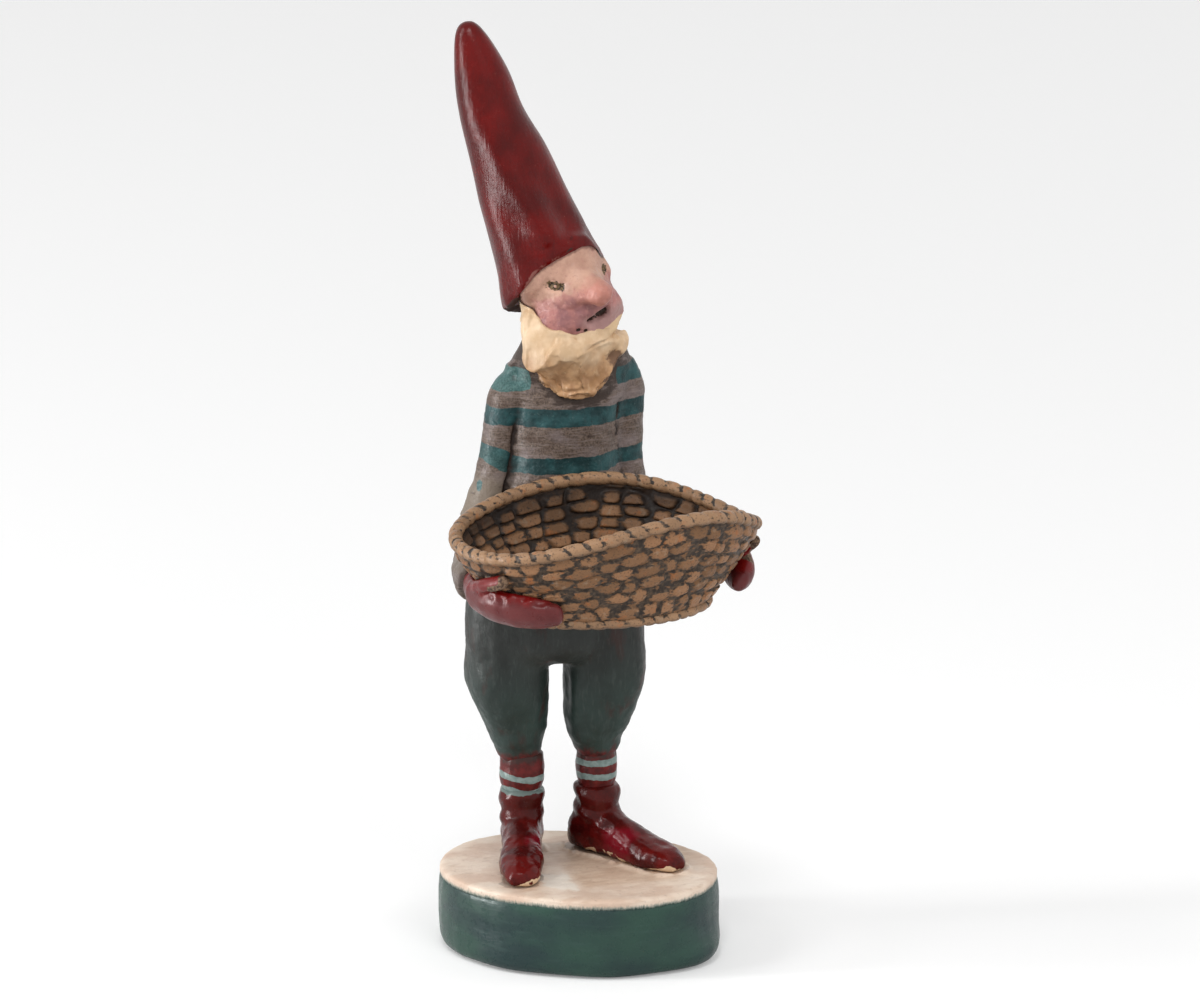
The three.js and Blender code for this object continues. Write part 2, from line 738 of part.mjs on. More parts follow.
const headGroup = new THREE.Group();
headGroup.position.set(neckBase.x - 1.9, neckBase.y - 2.1, torsoTop + neckOverlap);
headGroup.rotation.set(degrees(-headBack), degrees(-headLean), degrees(headTurn), 'ZYX');

function skullShape(grow = 0) {
  const half = headWidth / 2;
  return egg(0, 0.5, 1, half + grow, half + 0.7 + grow, headHeight / 2 + grow, 18);
}

function jawShape(grow = 0) {
  const half = headWidth / 2;
  return egg(0, -2.2, -headHeight * 0.26, half * 1.06 + grow, half * 0.84 + grow,
    headHeight * 0.28 + grow, 18);
}

function neckShape(grow = 0) {
  const half = headWidth * 0.36;
  return egg(0, 3, -headHeight * 0.4, half + grow, half + grow, headHeight * 0.26 + grow);
}

/** Long nose that slopes out of the brow to a ball. */
function noseShape(grow = 0) {
  const front = headWidth / 2;
  return limb([
    { x: 0, y: -front + 2, z: 4.2, wide: noseWidth * 0.9, tall: noseWidth * 0.6 },
    { x: 0, y: -front - noseReach * 0.35, z: 0.8, wide: noseWidth, tall: noseWidth * 0.86 },
    { x: 0, y: -front - noseReach, z: -2.5, wide: noseWidth, tall: noseWidth },
  ], { grow, start: 1, end: noseWidth * 0.42 }).rotateZ(degrees(faceTurn));
}

/** Upper lip that hangs over the mouth. */
function lipShape() {
  return egg(0, -headWidth * 0.47, -6, mouthWidth * 0.75, 3, 2.3).rotateZ(degrees(faceTurn));
}

function eyePit({ turn, z }) {
  return egg(0, -headWidth / 2 - 0.4, z, 1.5, 1.3, 0.95, 10).rotateZ(degrees(turn));
}

function mouthSlit() {
  return egg(0, -headWidth / 2 - 0.6, -8.8, mouthWidth / 2, 2.4, 0.8, 12).rotateZ(degrees(faceTurn));
}

const hatStations = [
  { x: -2, y: 1, z: 1.2, wide: brimWidth, deep: brimWidth * 1.02, pitch: brimPitch },
  { x: -2.15, y: 0.9, z: hatHeight * 0.153, wide: brimWidth * 0.89, deep: brimWidth * 0.92,
    pitch: brimPitch * 0.6 },
  { x: -2.45, y: 1, z: hatHeight * 0.264, wide: brimWidth * 0.825, deep: brimWidth * 0.85,
    pitch: brimPitch * 0.3 },
  { x: -2.7, y: 1.2, z: hatHeight * 0.394, wide: brimWidth * 0.77, deep: brimWidth * 0.78, pitch: 4 },
  { x: -2.8, y: 1.3, z: hatHeight * 0.512, wide: brimWidth * 0.705, deep: brimWidth * 0.71, pitch: 0 },
  { x: -3.5, y: 1.8, z: hatHeight * 0.66, wide: brimWidth * 0.575, deep: brimWidth * 0.6, pitch: 0 },
  { x: -2.8, y: 1.4, z: hatHeight * 0.772, wide: brimWidth * 0.505, deep: brimWidth * 0.5, pitch: 0 },
  { x: -2.4, y: 1.2, z: hatHeight * 0.9, wide: brimWidth * 0.355, deep: brimWidth * 0.35, pitch: 0 },
  { x: -2.3, y: 1.2, z: hatHeight * 0.957, wide: brimWidth * 0.25, deep: brimWidth * 0.25, pitch: 0 },
];

function hatShape(grow = 0) {
  return upright(hatStations, { grow, top: hatHeight * 0.04 });
}

const hatDowelEnds = [-0.5, 0.5].map((share) => new THREE.Vector3(
  0, 0.5, headHeight / 2 + 1 + share * dowelLength));
const neckDowelEnds = [-0.5, 0.5].map((share) => new THREE.Vector3(
  neckBase.x, neckBase.y, torsoTop + share * dowelLength));
const waistDowelEnds = [-0.5, 0.5].map((share) => new THREE.Vector3(
  hip.x, hip.y, waist + share * dowelLength));

function makeHead() {
  const solidHead = join(skullShape(), jawShape(), neckShape(), noseShape(), lipShape());
  return cut(solidHead, eyePit(rightEye), eyePit(leftEye), mouthSlit(),
    seenFrom(headGroup, torsoShape(seam)),
    bore(...hatDowelEnds, dowelDiameter),
    seenFrom(headGroup, bore(...neckDowelEnds, dowelDiameter)));
}

function makeHat() {
  return cut(hatShape(), skullShape(seam), jawShape(seam), neckShape(seam),
    seenFrom(headGroup, torsoShape(seam)), bore(...hatDowelEnds, dowelDiameter));
}

/** Beard: hangs straight down from the jaw on to the chest, cut in broad facets. */
function makeBeard() {
  const { x, y, z } = headGroup.position;
  const stations = [
    { left: 0.015, ahead: 0.174, drop: 0.205, wide: 1.06, deep: 0.74, pitch: -35 },
    { left: 0.049, ahead: 0.186, drop: 0.355, wide: 1.03, deep: 0.76, pitch: -26 },
    { left: 0.061, ahead: 0.205, drop: 0.575, wide: 0.98, deep: 0.72, pitch: -6 },
    { left: 0.064, ahead: 0.212, drop: 0.775, wide: 0.86, deep: 0.66, pitch: 0 },
    { left: 0.03, ahead: 0.22, drop: 0.975, wide: 0.68, deep: 0.54, pitch: 0 },
    { left: 0.03, ahead: 0.212, drop: 1.1, wide: 0.42, deep: 0.3, pitch: 0 },
  ].map(({ left, ahead, drop, wide, deep, pitch }) => ({
    x: x + left * beardWidth,
    y: y - ahead * beardWidth,
    z: z - drop * beardLength,
    wide: wide * beardWidth,
    deep: deep * beardWidth,
    pitch,
  }));
  const mass = upright(stations, { perStretch: 1, bottom: 1.2 });
  const behind = new THREE.BoxGeometry(4 * beardWidth, 4 * beardWidth, 4 * beardLength)
    .translate(x, y - 0.5 + 2 * beardWidth, z);
  const headTools = [skullShape(seam), jawShape(seam), neckShape(seam), noseShape(seam), hatShape(seam)];
  return cut(mass, behind, torsoShape(seam), ...headTools.map((tool) => placedBy(headGroup, tool)));
}

// Assembly

const elf = new THREE.Group();

elf.add(piece('base_pad', makePad(), 'felt'));
elf.add(piece('plinth', cut(makePlinth(), ...legBores), 'green'));
elf.add(piece('plinth_snow', cut(makeSnow(), ...legBores), 'cream'));

elf.add(...makeFoot('right', rightFoot, legBores[0]), ...makeFoot('left', leftFoot, legBores[1]));
elf.add(piece('right_leg_rod', legRods[0], 'steel'), piece('left_leg_rod', legRods[1], 'steel'));
elf.add(piece('trousers', cut(trousersShape(), ...legBores, bore(...waistDowelEnds, dowelDiameter)), 'cloth'));
elf.add(piece('waist_dowel', rod(...waistDowelEnds, dowelDiameter), 'wood'));

elf.add(piece('jersey_body', cut(torsoShape(),
  bore(...waistDowelEnds, dowelDiameter), bore(...neckDowelEnds, dowelDiameter),
  bore(...shoulderPinEnds('right'), pinDiameter), bore(...shoulderPinEnds('left'), pinDiameter)),
'jersey'));
elf.add(...makeArm('right', rightGrip, rightThumb), ...makeArm('left', leftGrip, leftThumb));

const basketBores = [rightGrip, leftGrip].map((grip) => (
  seenFrom(basketGroup, bore(...basketPinEnds(grip), basketPinDiameter))));
basketGroup.add(piece('basket_body', cut(makeBasketShell(), ...basketBores), 'wicker'));
basketGroup.add(piece('basket_rim', makeRimRope(), 'wicker'));
basketGroup.add(piece('basket_foot', makeFootRope(), 'wicker'));
elf.add(basketGroup);

elf.add(piece('neck_dowel', rod(...neckDowelEnds, dowelDiameter), 'wood'));
headGroup.add(piece('head', makeHead(), 'skin'));
headGroup.add(piece('hat', makeHat(), 'red'));
headGroup.add(piece('hat_dowel', rod(...hatDowelEnds, dowelDiameter), 'wood'));
elf.add(headGroup);
elf.add(piece('beard', makeBeard(), 'beard'));

export default elf;
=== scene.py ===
# A hand painted elf figurine with an open basket, on an oval plinth.
# Metres, +Z up. The elf faces -Y, and its right hand is at -X.

import math

import bmesh
import bpy
import numpy as np
from mathutils import Euler, Matrix, Vector
from mathutils.bvhtree import BVHTree


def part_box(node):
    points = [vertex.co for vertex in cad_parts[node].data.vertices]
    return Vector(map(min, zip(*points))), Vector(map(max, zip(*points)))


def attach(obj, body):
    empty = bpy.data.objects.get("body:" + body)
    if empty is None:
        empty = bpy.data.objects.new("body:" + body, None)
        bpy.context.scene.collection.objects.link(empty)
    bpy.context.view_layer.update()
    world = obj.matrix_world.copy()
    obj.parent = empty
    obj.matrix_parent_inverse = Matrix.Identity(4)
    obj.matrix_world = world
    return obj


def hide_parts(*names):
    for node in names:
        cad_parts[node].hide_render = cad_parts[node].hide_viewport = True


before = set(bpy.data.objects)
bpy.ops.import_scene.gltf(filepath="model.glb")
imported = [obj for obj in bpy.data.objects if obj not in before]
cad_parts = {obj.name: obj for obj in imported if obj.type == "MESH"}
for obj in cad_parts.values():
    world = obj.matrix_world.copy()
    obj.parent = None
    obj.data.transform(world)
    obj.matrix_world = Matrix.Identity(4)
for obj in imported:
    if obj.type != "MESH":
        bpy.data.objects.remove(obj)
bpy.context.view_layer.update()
mm = 0.001

# Heights of the forms above the table
plinth_top = 19.5 * mm
snow_top = 21.45 * mm
sole = 21.8 * mm
sock_top = 48.15 * mm
sock_stripe_gap = 3.7 * mm
trouser_hem = 48.5 * mm
head_place = Vector((-1.5, 7.3, 173.45)) * mm
head_turn = Euler((math.radians(-7.5), math.radians(-16.3), math.radians(9)), "XYZ")
head_axes = np.array(head_turn.to_matrix())
cheek_radius = 11.6 * mm

# Features of the face, in degrees to the elf's left of its middle
right_eye_bearing = -32
left_eye_bearing = 50
mouth_bearing = 6

# Feet
right_ankle = Vector((-10.8, 13.8, 21.8)) * mm
left_ankle = Vector((8.5, 11.2, 21.8)) * mm
right_foot_turn = -18
left_foot_turn = 28

# Teal stripes of the jersey in millimetres: height of each one's middle and half its width
stripes = [(149.6, 2.3), (140.3, 2.25), (128.0, 2.1)]
sleeve_spot = np.array([-24.2, 7.0, 122.4])

# Basket, from its foot up
basket_foot = 99.3 * mm
basket_length = 78.6 * mm
basket_width = 58.8 * mm
basket_height = 24.6 * mm
basket_foot_length = 55 * mm
basket_foot_width = 39 * mm
basket_wall = 2.2 * mm
foot_rope = 2.8 * mm
rim_rope = 3.4 * mm
seam = 0.35 * mm
rim_dip = 3.6 * mm
rim_slope = 1.1 * mm
rim_nod = 0.8 * mm
rim_twist = 1.4 * mm
rim_sway = 1.2 * mm

# Woven cells of the basket's wall, and how fine its mesh is
cell_rows = 6
outer_columns = 33
inner_columns = 31
outer_rows = 80
inner_rows = 70
wall_columns = 760


# Smooth noise on points, the same on every run


def hashed(x, y, z, seed):
    """Number from 0 to 1 for each whole-numbered place."""
    value = (x * 374761393 + y * 668265263 + z * 1103515245 + seed * 69069) & 0xFFFFFFFF
    value = ((value ^ (value >> 13)) * 1274126177) & 0xFFFFFFFF
    value = ((value ^ (value >> 15)) * 668265263) & 0xFFFFFFFF
    return ((value ^ (value >> 16)) & 0xFFFF) / 0xFFFF


def swells(points, size, seed=0):
    """Noise from -1 to 1 whose bumps have one size."""
    place = np.asarray(points) / size
    low = np.floor(place).astype(np.int64)
    share = place - low
    share = share * share * (3 - 2 * share)
    total = np.zeros(len(place))
    for corner in np.ndindex(2, 2, 2):
        weight = np.prod(np.where(np.array(corner) == 1, share, 1 - share), axis=1)
        total += weight * hashed(*(low + np.array(corner)).T, seed)
    return 2 * total - 1


def roughness(points, size, seed=0, octaves=3):
    """Noise with finer bumps on the coarse ones."""
    return sum(0.5**n * swells(points, size / 2**n, seed + n) for n in range(octaves))


def smooth(value, low, high):
    """0 below low, 1 above high, and an even curve between them."""
    share = np.clip((value - low) / (high - low), 0, 1)
    return share * share * (3 - 2 * share)


def bell(value, middle, width):
    """1 at the middle, falling off evenly to both sides."""
    return np.exp(-(((value - middle) / width) ** 2))


# Meshes


def placed(name, data):
    """Puts a mesh, lamp or camera into the scene."""
    thing = bpy.data.objects.new(name, data)
    bpy.context.scene.collection.objects.link(thing)
    return thing


def remeshed(name, meshes, voxel):
    """One closed skin round some meshes, in small even faces."""
    joined = bmesh.new()
    for mesh in meshes:
        joined.from_mesh(mesh)
    bmesh.ops.remove_doubles(joined, verts=joined.verts, dist=0.001 * mm)
    coarse = bpy.data.meshes.new(name)
    joined.to_mesh(coarse)
    joined.free()
    thing = placed(name, coarse)
    skin = thing.modifiers.new("skin", "REMESH")
    skin.mode = "VOXEL"
    skin.voxel_size = voxel
    shown = thing.evaluated_get(bpy.context.evaluated_depsgraph_get())
    thing.data = bpy.data.meshes.new_from_object(shown)
    thing.modifiers.clear()
    return thing


def cad_mesh(node):
    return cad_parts[node].data


def rows_of(items, name, width, kind=float):
    """What each of some vertices or edges keeps under a name, one row for each."""
    found = np.empty(len(items) * width, kind)
    items.foreach_get(name, found)
    return found.reshape(-1, width)


def points_of(thing):
    return rows_of(thing.data.vertices, "co", 3)


def set_points(thing, points):
    thing.data.vertices.foreach_set("co", points.ravel())
    thing.data.update()


def normals_of(thing):
    return rows_of(thing.data.vertices, "normal", 3)


def edges_of(thing):
    return rows_of(thing.data.edges, "vertices", 2, np.int32)


def averaged(values, edges):
    """Mean of each point's neighbours, for a row of values or of points."""
    count = len(values)
    near = np.bincount(edges.ravel(), minlength=count)
    columns = values.reshape(count, -1).T
    sums = [
        np.bincount(edges[:, 0], column[edges[:, 1]], count)
        + np.bincount(edges[:, 1], column[edges[:, 0]], count)
        for column in columns
    ]
    return (np.array(sums) / near).T.reshape(values.shape)


def relaxed(points, edges, rounds, hold=None):
    """Points after rounds of smoothing; hold is 1 where they stay."""
    free = 0.6 if hold is None else 0.6 * (1 - hold)[:, None]
    for _ in range(rounds):
        points = points + free * (averaged(points, edges) - points)
    return points


def crisp_edges(thing):
    """1 at sharp edges, fading to 0 just beside them."""
    normals = normals_of(thing)
    edges = edges_of(thing)
    turn = 1 - np.einsum("ij,ij->i", normals[edges[:, 0]], normals[edges[:, 1]])
    sharp = np.zeros(len(normals))
    np.maximum.at(sharp, edges[:, 0], turn)
    np.maximum.at(sharp, edges[:, 1], turn)
    return smooth(averaged(sharp, edges), 0.1, 0.25)


def relax(thing, rounds, hold=None):
    set_points(thing, relaxed(points_of(thing), edges_of(thing), rounds, hold))


def push(thing, distances):
    """Moves each point along its normal."""
    set_points(thing, points_of(thing) + normals_of(thing) * distances[:, None])


def roughen(thing, depth, size, seed, octaves=3, swell=0.0):
    """Pushes the skin in and out by noise, and all of it out by its swell."""
    push(thing, depth * roughness(points_of(thing), size, seed, octaves) + swell)


def hew(thing, size, tilt, reach, seed, tall=1.0):
    """Flattens the skin in knife cuts of about one size, longer upright where tall is above 1.

    Each cut is tilted its own way and moves the skin by no more than its reach.
    """
    points = points_of(thing)
    normals = normals_of(thing)
    choice = np.random.default_rng(seed)
    tries = 4000
    stretch = np.array([1, 1, 1 / tall]) / size
    spots = []
    for start in choice.permutation(len(points))[:tries]:
        if np.all(np.linalg.norm((points[spots] - points[start]) * stretch, axis=1) > 1):
            spots.append(start)
    nearest = np.full(len(points), np.inf)
    owner = np.zeros(len(points), np.int64)
    for number, spot in enumerate(spots):
        away = np.linalg.norm((points - points[spot]) * stretch, axis=1)
        away += 0.6 * (1 - normals @ normals[spot])
        owner[away < nearest] = number
        nearest = np.minimum(nearest, away)
    for number in range(len(spots)):
        own = owner == number
        normal = normals[own].mean(axis=0) + choice.normal(0, tilt, 3)
        normal /= np.linalg.norm(normal)
        sunk = np.clip((points[own].mean(axis=0) - points[own]) @ normal, -reach, reach)
        points[own] += (sunk * smooth(normals[own] @ normal, 0.3, 0.7))[:, None] * normal
    set_points(thing, points)


def mark(thing, **marks):
    """Keeps numbers on the points by name, for the material."""
    for name, values in marks.items():
        layer = thing.data.attributes.new(name, "FLOAT", "POINT")
        layer.data.foreach_set("value", values.astype(np.float32))


def mark_hollows(thing, rounds, depth):
    """Marks what lies deep with 1 and ridges with 0, and level skin with a half."""
    points = points_of(thing)
    moved = relaxed(points, edges_of(thing), rounds) - points
    sunk = np.einsum("ij,ij->i", moved, normals_of(thing))
    # The materials darken the skin by this mark: painted shade in the hollows, together with a dark
    # wash.
    mark(thing, hollow=np.clip(0.5 + sunk / (2 * depth), 0, 1))


def finished(thing, material, slot, *replaced):
    """Rides a piece on the figurine and gives it its looks."""
    thing.data.materials.clear()
    thing.data.materials.append(material)
    thing.data.shade_smooth()
    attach(thing, "root")
    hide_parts(*replaced)
    return thing


# Materials


def tint(*screen_values):
    """Colour from its screen values, 0 to 255."""
    shares = [value / 255 for value in screen_values]
    return [s / 12.92 if s <= 0.04045 else ((s + 0.055) / 1.055) ** 2.4 for s in shares] + [1]


class Nodes:
    """A tree of nodes, in which a value is a node's output, a number or a mark's name."""

    def __init__(self, tree):
        self.tree = tree

    def feed(self, socket, value):
        if isinstance(value, str):
            kept = self.node("ShaderNodeAttribute")
            kept.attribute_name = value
            value = kept.outputs["Fac"]
        if isinstance(value, bpy.types.NodeSocket):
            self.tree.links.new(value, socket)
        else:
            socket.default_value = value

    def node(self, kind, inputs=None):
        """Adds a node and feeds its sockets."""
        node = self.tree.nodes.new(kind)
        for name, value in (inputs or {}).items():
            self.feed(node.inputs[name], value)
        return node

    def math(self, operation, first, second=0.0):
        node = self.node("ShaderNodeMath", {0: first, 1: second})
        node.operation = operation
        return node.outputs["Value"]

    def ramp(self, value, low, high, start=0.0, end=1.0):
        """Smooth step of a value from low to high, which may lie below it."""
        inputs = {"Value": value, "From Min": low, "From Max": high, "To Min": start, "To Max": end}
        node = self.node("ShaderNodeMapRange", inputs)
        node.interpolation_type = "SMOOTHSTEP"
        return node.outputs["Result"]


class Paint(Nodes):
    """A material, its colour built up in coats. A colour is an output or three screen values."""

    def __init__(self, name):
        self.material = bpy.data.materials.new(name)
        self.material.use_nodes = True
        super().__init__(self.material.node_tree)
        self.shader = self.tree.nodes["Principled BSDF"]
        self.place = self.node("ShaderNodeTexCoord").outputs["Object"]
        self.color = None

    def set(self, name, value):
        self.feed(self.shader.inputs[name], value)

    def height(self):
        """Height above the table, in metres."""
        return self.node("ShaderNodeSeparateXYZ", {"Vector": self.place}).outputs["Z"]

    def noise(self, size, detail=4, stretch=(1, 1, 1), seed=0):
        """Cloudy noise, its marks longer along an axis by that axis's stretch."""
        mapping = self.node("ShaderNodeMapping", {
            "Vector": self.place,
            "Location": (7.1 * seed, 3.7 * seed, 1.9 * seed),
            "Scale": [1 / (size * length) for length in stretch],
        })
        inputs = {"Vector": mapping.outputs["Vector"], "Scale": 1, "Detail": detail, "Roughness": 0.55}
        return self.node("ShaderNodeTexNoise", inputs).outputs["Fac"]

    def frayed(self, value, reach, size, detail=4, stretch=(1, 1, 1), seed=0):
        """A value that noise moves up and down by about its reach."""
        noise = self.math("SUBTRACT", self.noise(size, detail, stretch, seed), 0.5)
        return self.math("ADD", value, self.math("MULTIPLY", noise, 4 * reach))

    def layer(self, amount, under, over):
        """One colour painted over another."""
        node = self.node("ShaderNodeMix")
        node.data_type = "RGBA"
        sockets = {socket.identifier: socket for socket in [*node.inputs, *node.outputs]}
        self.feed(sockets["Factor_Float"], amount)
        for name, color in (("A_Color", under), ("B_Color", over)):
            self.feed(sockets[name], tint(*color) if isinstance(color, tuple) else color)
        return sockets["Result_Color"]

    def mottled(self, value, low, high, first, second):
        """The first colour where a value is low, the second where it is high."""
        return self.layer(self.ramp(value, low, high), first, second)

    def blend(self, amount, color):
        """Coat of a colour over what is there, as thick as its amount."""
        self.color = self.layer(amount, self.color, color)

    def cover(self, value, low, high, color, most=1.0):
        """Coat that starts where a value is low and is thickest from high on."""
        self.blend(self.ramp(value, low, high, 0, most), color)

    def bump(self, *relief):
        """Fine relief from pairs of a value and its depth in metres."""
        normal = None
        for value, depth in relief:
            inputs = {"Height": value, "Distance": depth}
            if normal is not None:
                inputs["Normal"] = normal
            normal = self.node("ShaderNodeBump", inputs).outputs["Normal"]
        self.set("Normal", normal)

    def finish(self, low, high, shine, *relief, dull=None):
        """The material, its roughness uneven from low to high and full where it is dull."""
        self.set("Base Color", self.color)
        rough = self.ramp(self.noise(1.8 * mm, seed=6), 0.3, 0.7, low, high)
        if dull is not None:
            rough = self.math("MAXIMUM", rough, self.math("MULTIPLY", dull, 0.9))
        self.set("Roughness", rough)
        self.shader.inputs["Specular IOR Level"].default_value = shine
        self.bump(*relief)
        return self.material


def hat_paint():
    """Hat: deep red varnish, brushed lengthwise, rubbed at the brim, with brown painted shade along
    the brim's edge and underside.
    """
    paint = Paint("hat_gloss_red")
    strokes = paint.noise(0.8 * mm, 4, (1, 1, 9), seed=2)
    paint.color = paint.mottled(paint.noise(12 * mm, 3), 0.35, 0.65, (72, 4, 3), (96, 8, 6))
    paint.cover(strokes, 0.52, 0.7, (60, 6, 6), 0.3)
    # Painted shade: darker in the hollows of the skin, together with a dark wash.
    paint.cover("hollow", 0.6, 1.0, (46, 10, 8), 0.8)
    paint.cover(paint.noise(0.7 * mm, 2, seed=9), 0.72, 0.76, (150, 90, 80), 0.4)
    paint.cover(paint.frayed("rubbed", 0.25, 0.9 * mm, seed=11), 0.4, 0.7, (134, 88, 80), 0.8)
    # Painted shade: a brown band along the brim's edge and underside, where the hat shades itself.
    paint.cover(paint.frayed("brim", 0.25, 0.9 * mm, seed=11), 0.35, 0.6, (56, 38, 32))
    fine = paint.noise(0.9 * mm, 3, seed=5)
    return paint.finish(0.17, 0.3, 0.2, (strokes, 0.12 * mm), (fine, 0.05 * mm), dull="brim")


def boot_paint():
    """Boots: crimson patches on dark red, browner up the shaft, painted shade in the folds, a ragged
    pale line at the sole.
    """
    paint = Paint("boot_gloss_red")
    paint.color = paint.mottled(paint.noise(5 * mm, 3), 0.35, 0.6, (62, 11, 10), (90, 17, 15))
    paint.cover(paint.frayed("crimson", 0.25, 3 * mm, 5, seed=4), 0.3, 0.9, (116, 16, 30), 0.8)
    paint.cover(paint.height(), sole + 7 * mm, sole + 13 * mm, (70, 22, 18), 0.5)
    # Painted shade: darker in the folds and hollows, together with a dark wash.
    paint.cover("hollow", 0.58, 0.95, (40, 16, 14), 0.9)
    stripe = paint.math("ABSOLUTE", paint.frayed("level", 0.3 * mm, 2 * mm, seed=2))
    paint.cover(stripe, 0.95 * mm, 0.7 * mm, (110, 126, 122), 0.9)
    paint.cover(paint.frayed("rise", 0.35 * mm, 1.6 * mm, seed=3), 0.2 * mm, 0, (206, 178, 146))
    return paint.finish(0.15, 0.28, 0.17, (paint.noise(1.3 * mm, seed=1), 0.1 * mm))


def mitten_paint():
    """Mittens: mauve red, a deeper red along the upper edge, painted shade in the hollows, and a
    wicker brown thumb tip with painted shade beneath the thumb.
    """
    paint = Paint("mitten_gloss_red")
    paint.color = paint.mottled(paint.noise(6 * mm, 3), 0.35, 0.7, (84, 28, 29), (99, 42, 42))
    paint.blend("upper", (104, 8, 8))
    # Painted shade: darker in the hollows.
    paint.cover("hollow", 0.6, 0.95, (48, 18, 18))
    # The brown of the thumb's tip, also laid beneath the thumb as painted shade.
    grime = paint.mottled(paint.noise(0.7 * mm, seed=3), 0.4, 0.6, (66, 50, 42), (124, 100, 80))
    paint.cover(paint.frayed("tip", 0.25, 1.2 * mm, seed=8), 0.4, 0.6, grime)
    return paint.finish(0.26, 0.42, 0.28, (paint.noise(1.5 * mm, seed=4), 0.08 * mm), dull="tip")


def sock_paint():
    """Socks: dark red with two uneven pale stripes, green rubbed in at the top."""
    paint = Paint("sock_stripes")
    paint.color = paint.mottled(paint.noise(2 * mm), 0.35, 0.7, (72, 20, 18), (104, 28, 26))
    edge = paint.frayed("level", 0.35 * mm, 4 * mm, seed=2)
    edge = paint.frayed(edge, 0.08 * mm, 0.8 * mm, seed=7)
    pale = paint.noise(1.2 * mm, seed=1)
    pale = paint.mottled(pale, 0.3, 0.7, (110, 128, 124), (134, 150, 146))
    for middle in (0.0, sock_stripe_gap):
        away = paint.math("ABSOLUTE", paint.math("SUBTRACT", edge, middle))
        paint.cover(away, 0.9 * mm, 0.75 * mm, pale)
    top = paint.frayed(paint.height(), 1.0 * mm, 1.5 * mm, seed=8)
    paint.cover(top, sock_top - 2 * mm, sock_top, (44, 44, 40), 0.7)
    # Painted shade: darker in the hollows, where the sock meets boot and hem.
    paint.cover("hollow", 0.6, 0.95, (50, 26, 26), 0.7)
    return paint.finish(0.3, 0.44, 0.25, (paint.noise(1.0 * mm, seed=1), 0.1 * mm))


def trouser_paint():
    """Trousers: dark green grey, rubbed brown red, with sock red worked up into the hems."""
    paint = Paint("trouser_green")
    cloud = paint.noise(10 * mm, 4, (1, 1, 1.8))
    strokes = paint.noise(0.7 * mm, 4, (1, 1, 6), seed=11)
    green = paint.ramp(paint.height(), trouser_hem + 34 * mm, trouser_hem + 10 * mm)
    paint.color = paint.mottled(cloud, 0.35, 0.65, (38, 40, 38), (50, 53, 51))
    paint.blend(paint.math("MULTIPLY", green, cloud), (40, 64, 58))
    paint.cover(paint.noise(4 * mm, 5, (1, 1, 3), seed=4), 0.54, 0.72, (58, 38, 34), 0.75)
    paint.cover(strokes, 0.52, 0.72, (74, 82, 78), 0.3)
    # Painted shade: darker in the hollows and creases.
    paint.cover("hollow", 0.58, 0.9, (22, 24, 22), 0.7)
    hem = paint.frayed(paint.height(), 1.3 * mm, 3 * mm, seed=8)
    hem = paint.frayed(hem, 0.6 * mm, 0.8 * mm, seed=5)
    red = paint.mottled(paint.noise(1.2 * mm, seed=12), 0.35, 0.65, (62, 28, 26), (98, 30, 28))
    paint.cover(hem, trouser_hem + 2.2 * mm, trouser_hem - 0.4 * mm, red)
    coarse = paint.noise(1.6 * mm, 5, (1, 1, 1.6), seed=1)
    return paint.finish(0.38, 0.54, 0.26, (coarse, 0.16 * mm), (strokes, 0.06 * mm))


def jersey_paint():
    """Jersey: dry brushed taupe over dark brown, with teal stripes."""
    paint = Paint("jersey_stripes")
    strokes = paint.noise(0.4 * mm, 3, (10, 10, 1), seed=1)
    grain = paint.noise(0.5 * mm, seed=14)
    cloud = paint.noise(5 * mm, 4, (2, 2, 1), seed=2)
    paint.color = paint.mottled(grain, 0.34, 0.66, (72, 60, 52), (108, 92, 82))
    paint.cover(strokes, 0.46, 0.66, (122, 108, 102), 0.65)
    paint.cover(cloud, 0.46, 0.66, (130, 118, 118), 0.5)
    paint.cover(cloud, 0.46, 0.3, (74, 56, 46), 0.6)
    # Paler beige on the lower outer sleeve at -X: partly the paint's own tone, partly painted sheen on
    # the side facing the lamps.
    paint.blend("pale", (122, 110, 98))
    shade = paint.frayed("shade", 0.875, 1.4 * mm, 5, (3, 3, 1), seed=9)
    paint.cover(shade, 0.3, 0.9, (54, 42, 36), 0.9)
    teal = paint.mottled(paint.noise(4 * mm, seed=3), 0.35, 0.68, (22, 48, 50), (40, 76, 78))
    teal = paint.layer(paint.ramp(grain, 0.6, 0.72, 0, 0.4), teal, (84, 106, 104))
    # Paler teal on the left shoulder and elbow: partly brighter paint, partly painted highlight.
    bright = paint.math("MULTIPLY", "bright", paint.ramp(grain, 0.35, 0.65, 0.3, 0.9))
    teal = paint.layer(bright, teal, (84, 118, 114))
    edge = paint.frayed("stripe", 0.4 * mm, 6 * mm, seed=4)
    edge = paint.frayed(edge, 0.2 * mm, 0.9 * mm, 4, (3, 3, 1), seed=5)
    paint.cover(edge, 0.12 * mm, -0.12 * mm, teal)
    # Painted shade in the armpit creases.
    paint.cover(paint.frayed("crease", 0.25, 0.9 * mm, seed=10), 0.25, 0.8, (44, 32, 27), 0.95)
    # Painted shade: darker in the hollows.
    paint.cover("hollow", 0.56, 0.85, (38, 28, 24), 0.9)
    paint.cover(paint.noise(0.8 * mm, 3, seed=16), 0.3, 0.24, (34, 26, 22), 0.8)
    knit = paint.noise(0.8 * mm, seed=7)
    return paint.finish(0.3, 0.5, 0.25, (strokes, 0.07 * mm), (knit, 0.2 * mm))


